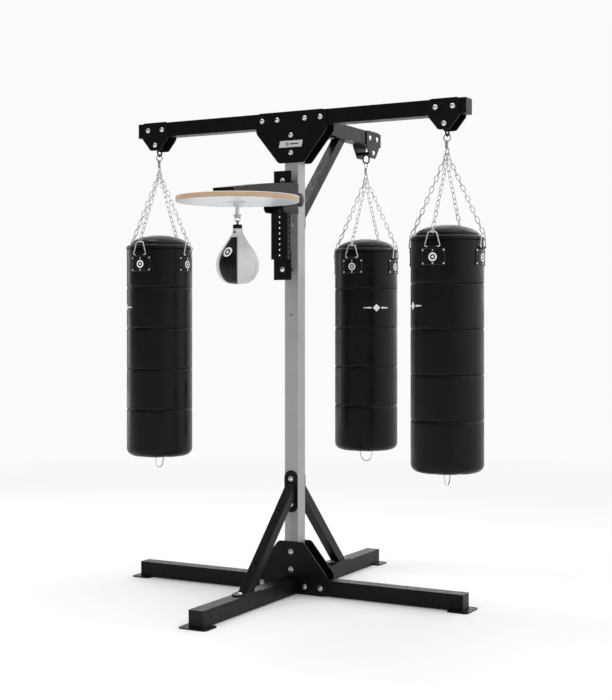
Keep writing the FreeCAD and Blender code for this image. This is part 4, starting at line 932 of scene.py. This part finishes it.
# share of the ball's height, share of its greatest radius
BALL_OUTLINE = [
    (0.0, 0.0), (0.007, 0.25), (0.018, 0.43), (0.042, 0.585), (0.078, 0.715), (0.12, 0.81),
    (0.172, 0.893), (0.228, 0.955), (0.285, 0.99), (0.338, 1.0), (0.397, 0.988), (0.457, 0.952),
    (0.521, 0.888), (0.588, 0.796), (0.66, 0.68), (0.712, 0.583), (0.764, 0.49), (0.82, 0.398),
    (0.87, 0.325), (0.915, 0.272), (0.96, 0.241), (1.0, 0.223),
]


def ball_profile(share):
    """Radius of the ball at a share of its height: a round belly under a tapering neck."""
    points = BALL_OUTLINE
    for i in range(1, len(points)):
        if share <= points[i][0]:
            break
    x0, y0 = points[i - 1]
    x1, y1 = points[i]
    before = points[max(0, i - 2)]
    after = points[min(len(points) - 1, i + 1)]
    slope0 = (y1 - before[1]) / (x1 - before[0]) * (x1 - x0)
    slope1 = (after[1] - y0) / (after[0] - x0) * (x1 - x0)
    t = (share - x0) / (x1 - x0)
    cube, square = t ** 3, t ** 2
    value = (2 * cube - 3 * square + 1) * y0 + (cube - 2 * square + t) * slope0
    return value + (3 * square - 2 * cube) * y1 + (cube - square) * slope1


def ball_point(angle, share, lift):
    radius = ball_profile(share) * BALL_R + lift
    return polar(angle, radius, ball_low.z + share * BALL_HEIGHT) + BALL_CENTRE


def ball_reach(z):
    return ball_profile((z - ball_low.z) / BALL_HEIGHT) * BALL_R


def ball_rows():
    """Shares of the ball's height, closer together where its bottom is nearly flat."""
    rows = []
    for i in range(BALL_ROWS + 1):
        share = i / BALL_ROWS
        eased = 1.6 * share * share if share < 0.3 else 0.144 + 0.856 * (share - 0.3) / 0.7
        rows.append(0.0006 + 0.9994 * eased)
    return rows


def make_ball():
    """Six leather panels sewn along their edges and blown up by a bladder."""
    build = Build()
    rows = ball_rows()
    radii = [ball_profile(s) * BALL_R - BALL_SKIN_INSET for s in rows]
    heights = [ball_low.z + s * BALL_HEIGHT for s in rows]
    capped_revolve(build, list(zip(radii, heights)), BALL_COLUMNS)
    ball = build.make("speed_ball_cover", "ball_leather")
    ball.data.materials.append(MATERIALS["ball_leather_light"])
    seams = range(0, BALL_COLUMNS, BALL_COLUMNS // BALL_PANELS)
    panel = 360 / BALL_PANELS
    held = [i * BALL_COLUMNS + j for i in range(len(rows)) for j in seams]
    held += list(range((len(rows) - 2) * BALL_COLUMNS, len(rows) * BALL_COLUMNS + 2))
    for vertex in ball.data.vertices:
        co = vertex.co
        around = math.hypot(co.x, co.y)
        turn = math.degrees(math.atan2(co.y, co.x)) % panel
        off = math.radians(min(turn, panel - turn)) * around
        dip = BALL_SEAM_DIP * math.exp(-off / BALL_SEAM_REACH)
        if around > 5 * MM:
            co.x *= 1 - dip / around
            co.y *= 1 - dip / around
    inflate(ball, held, AIR_PRESSURE, BALL_SWELL_CAP, BALL_STIFFNESS)
    settle(ball, ball_low.z, ball_high.z, ball_reach, 1 * MM)
    neck_z = ball_high.z - BALL_NECK
    for face in ball.data.polygons:
        number = int((math.degrees(math.atan2(face.center.y, face.center.x)) % 360) // panel)
        light = number not in BALL_BLACK_PANELS or face.center.z > neck_z
        face.material_index = 1 if light else 0
    refine(ball)
    ball.matrix_world = Matrix.Translation(BALL_CENTRE) @ spin(BALL_SEAM_ANGLE, 4)
    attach(ball, "speed_ball")
    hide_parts("speed_ball")
    add_ball_details(neck_z)


def add_ball_details(neck_z):
    neck_share = (neck_z - ball_low.z) / BALL_HEIGHT
    seams = Build()
    for number in range(BALL_PANELS):
        angle = BALL_SEAM_ANGLE + 360 / BALL_PANELS * number
        shares = [0.03 + 0.93 * i / 60 for i in range(61)]
        for side in (-1, 1):
            path = []
            for share in shares:
                reach = max(0.02, ball_profile(share) * BALL_R)
                beside = angle + side * math.degrees(3.2 * MM / reach)
                path.append(ball_point(beside, share, -1.1 * MM))
            normals = [(p - BALL_CENTRE - Vector((0, 0, p.z))).normalized() for p in path]
            seams.stitches(path, normals, *BALL_STITCH)
    seams.make("ball_stitching", "thread_light", "speed_ball")
    cuff = Build()
    path = [ball_point(360 * i / 72, neck_share, 0.1 * MM) for i in range(72)]
    cuff.tube(path, 1.0 * MM, closed=True)
    cuff.make("ball_neck_piping", "ball_leather_light", "speed_ball")
    add_laces()
    mark = Build()
    spot = BALL_SEAM_ANGLE - 33

    def place(x, z):
        share = BALL_MARK_SHARE + z / BALL_HEIGHT
        reach = ball_profile(share) * BALL_R
        return ball_point(spot + math.degrees(x / reach), share, 0.45 * MM)

    ring_mark(mark, 0.0, 0.0, BALL_MARK_R, place)
    mark.make("ball_mark", "ink_white", "speed_ball")


def add_laces():
    """The eyelet on the neck, and the knotted cord that runs from it up under the collar."""
    angle = BALL_SEAM_ANGLE - 31
    outward = polar(angle, 1.0)
    upward = Vector((0, 0, 1))
    sideways = outward.cross(upward)
    centre = ball_point(angle, CORD_SHARE, 0.3 * MM)

    def loop(radius, lift, count=24):
        turns = [math.tau * i / count for i in range(count)]
        middle = centre + outward * lift
        return [middle + (sideways * math.cos(t) + upward * math.sin(t)) * radius for t in turns]

    eyelet = Build()
    eyelet.tube(loop(4.6 * MM, 0.0), 1.0 * MM, closed=True)
    eyelet.make("ball_eyelet", "collar_leather", "speed_ball")
    cord = Build()
    for radius, lift in ((3.1, 0.9), (1.7, 2.2)):
        cord.tube(loop(radius * MM, lift * MM, 18), 1.6 * MM, closed=True)
    rise = [(angle + 2 * math.sin(0.5 * i), 0.945 + 0.005 * i) for i in range(10)]
    cord.tube([ball_point(turn, share, 1.6 * MM) for turn, share in rise], 1.1 * MM)
    cord.make("ball_cord", "collar_leather", "speed_ball")


# -------- frame details
def bead(build, start, end, radius, seed):
    """A weld bead: a rippled fillet between two points."""
    length = (end - start).length
    count = max(6, round(length / (1.1 * MM)))
    path = [start.lerp(end, i / count) for i in range(count + 1)]

    def width(share):
        ripple = 0.86 + 0.14 * abs(math.sin(share * length / (3.4 * MM) * math.pi + seed))
        ends = min(1.0, 14 * share + 0.35, 14 * (1 - share) + 0.35)
        return radius * ripple * ends

    build.tube(path, width)


def add_welds():
    """Beads where the legs stand on their foot plates and where the braces meet their plates."""
    build = Build()
    beam_low, beam_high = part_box("base_beam")
    half = (beam_high.y - beam_low.y) / 2
    leg_ends = [(beam_low.x, "x"), (beam_high.x, "x")]
    leg_ends += [(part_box("front_leg")[0].y, "y"), (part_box("rear_leg")[1].y, "y")]
    for end, along in leg_ends:
        back = end - math.copysign(FOOT_WELD, end)
        for side in (-half, half):
            seam = [(end, side), (back, side)] if along == "x" else [(side, end), (side, back)]
            points = [Vector((x, y, beam_low.z)) for x, y in seam]
            bead(build, *points, LEG_BEAD, side)
    plate_y = half + PLATE
    for sign in (-1, 1):
        add_brace_welds(build, BASE_BRACE_LINE, -1, sign, beam_high.z + PLATE, plate_y)
    add_brace_welds(build, HEAD_BRACE_LINE, 1, 1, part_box("rear_arm")[0].z - PLATE, plate_y)
    build.make("weld_beads", "black_paint", "stand")


def rectangle_welds(build, corners):
    for i in range(4):
        bead(build, corners[i], corners[(i + 1) % 4], BRACE_BEAD, i)


def add_brace_welds(build, line, slope, sign, plate_z, plate_y):
    """Welds round both ends of a 45 degree brace, whose axis meets the stand's at height line."""
    wall_z = line + slope * plate_y
    reach = slope * (plate_z - line)
    rectangle_welds(build, [Vector((x, sign * plate_y, wall_z + t)) for x, t in BRACE_END])
    rectangle_welds(build, [Vector((x, sign * (reach + t), plate_z)) for x, t in BRACE_END])


def add_plaque_print():
    """A plain ring and bar in dark ink on the blank plaque."""
    low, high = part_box("label_plaque")
    middle_x, middle_z = (low.x + high.x) / 2, (low.z + high.z) / 2
    front = low.y - 0.15 * MM
    build = Build()
    ring_mark(build, middle_x - 20 * MM, middle_z, 8.5 * MM, lambda x, z: Vector((x, front, z)))
    rows = []
    for z in (-3.2, 3.2):
        lean = z * 0.24
        xs = [middle_x + (x + lean) * MM for x in range(-4, 45, 8)]
        rows.append([Vector((x, front, middle_z + z * MM)) for x in xs])
    build.grid(rows)
    build.make("plaque_print", "ink_black", "stand")


# -------- studio
def make_floor():
    """A pale round floor that fades into the background far from the stand."""
    build = Build()
    radii = [0.0, 1.0, 3.0, 8.0, 20.0, 60.0]
    build.grid([circle(max(r, 0.001), 0.0, 96) for r in radii], close_columns=True)
    look = Look("studio_floor", (0.86, 0.86, 0.86), 0.75, 0.0, 0.2)
    split = look.node("ShaderNodeVectorMath", {0: look.place}, operation="LENGTH")
    far = look.remap(split.outputs["Value"], 0.0, 1.0, 2.2, 7.0)
    glow = look.node("ShaderNodeEmission", {"Color": (1, 1, 1, 1), "Strength": 0.96})
    blend = look.node("ShaderNodeMixShader", {"Fac": far})
    look.tree.links.new(look.shader.outputs[0], blend.inputs[1])
    look.tree.links.new(glow.outputs[0], blend.inputs[2])
    look.tree.links.new(blend.outputs[0], look.tree.nodes["Material Output"].inputs["Surface"])
    speckle = look.noise(40.0, 4.0)
    look.finish(Base_Color=look.mix(speckle, (0.87, 0.87, 0.87, 1), (0.89, 0.89, 0.89, 1)))
    MATERIALS["floor"] = look.material
    floor = build.make("studio_floor", "floor")


def make_world():
    """White surroundings, darker on the side that the stand's front faces look towards."""
    scene = bpy.context.scene
    world = bpy.data.worlds.new("studio")
    scene.world = world
    world.use_nodes = True
    tree = world.node_tree
    background = tree.nodes["Background"]
    background.inputs["Color"].default_value = (1.0, 1.0, 1.0, 1.0)
    new, wire = tree.nodes.new, tree.links.new
    toward = new("ShaderNodeVectorMath")
    toward.operation = "DOT_PRODUCT"
    toward.inputs[1].default_value = (0.55, 0.75, 0.36)
    wire(new("ShaderNodeTexCoord").outputs["Generated"], toward.inputs[0])
    ramp = new("ShaderNodeMapRange")
    ramp.interpolation_type = "SMOOTHSTEP"
    spread = {"From Min": -0.45, "From Max": 0.95, "To Min": 0.06, "To Max": 1.65}
    for socket, value in spread.items():
        ramp.inputs[socket].default_value = value
    wire(toward.outputs["Value"], ramp.inputs["Value"])
    pick = new("ShaderNodeMix")
    wire(new("ShaderNodeLightPath").outputs["Is Camera Ray"], pick.inputs[0])
    wire(ramp.outputs["Result"], pick.inputs[2])
    pick.inputs[3].default_value = 0.96
    wire(pick.outputs[0], background.inputs["Strength"])


def add_softbox(name, position, target, size, power, glossy=True):
    data = bpy.data.lights.new(name, "AREA")
    data.shape = "RECTANGLE"
    data.size, data.size_y = size
    data.energy = power
    lamp = bpy.data.objects.new(name, data)
    lamp.location = position
    aim = Vector(target) - Vector(position)
    lamp.rotation_mode = "QUATERNION"
    lamp.rotation_quaternion = aim.to_track_quat("-Z", "Y")
    lamp.visible_camera = False
    lamp.visible_glossy = glossy
    link(lamp)


def make_camera():
    data = bpy.data.cameras.new("camera")
    data.lens = 68.27
    data.sensor_width = 36.0
    data.shift_y = -0.0433
    data.clip_end = 200.0
    camera = bpy.data.objects.new("camera", data)
    camera.location = (3.3114, -5.9725, 1.3994)
    camera.rotation_euler = (math.radians(90), 0.0, math.radians(28.53))
    link(camera)
    bpy.context.scene.camera = camera


def make_studio():
    make_floor()
    make_world()
    add_softbox("key_overhead", (0.4, -0.4, 5.4), (0.0, 0.0, 0.0), (4.0, 4.0), 44)
    add_softbox("highlight_top", (-1.9, 0.3, 5.4), (0.0, 0.3, 1.9), (1.0, 1.0), 30)
    add_softbox("front_fill", (-1.0, -6.0, 3.0), (0.0, 0.0, 1.2), (3.0, 3.0), 120, glossy=False)
    add_softbox("highlight_right", (1.4, 3.2, 4.2), (0.6, 0.0, 1.8), (1.0, 1.0), 14)
    add_softbox("rim_left", (-4.4, 0.6, 2.2), (-0.4, 0.0, 1.3), (1.0, 3.6), 30)
    make_camera()
    bpy.context.scene.view_settings.view_transform = "Standard"


dress_cad_nodes()
make_bags()
make_ball()
add_welds()
add_plaque_print()
make_studio()
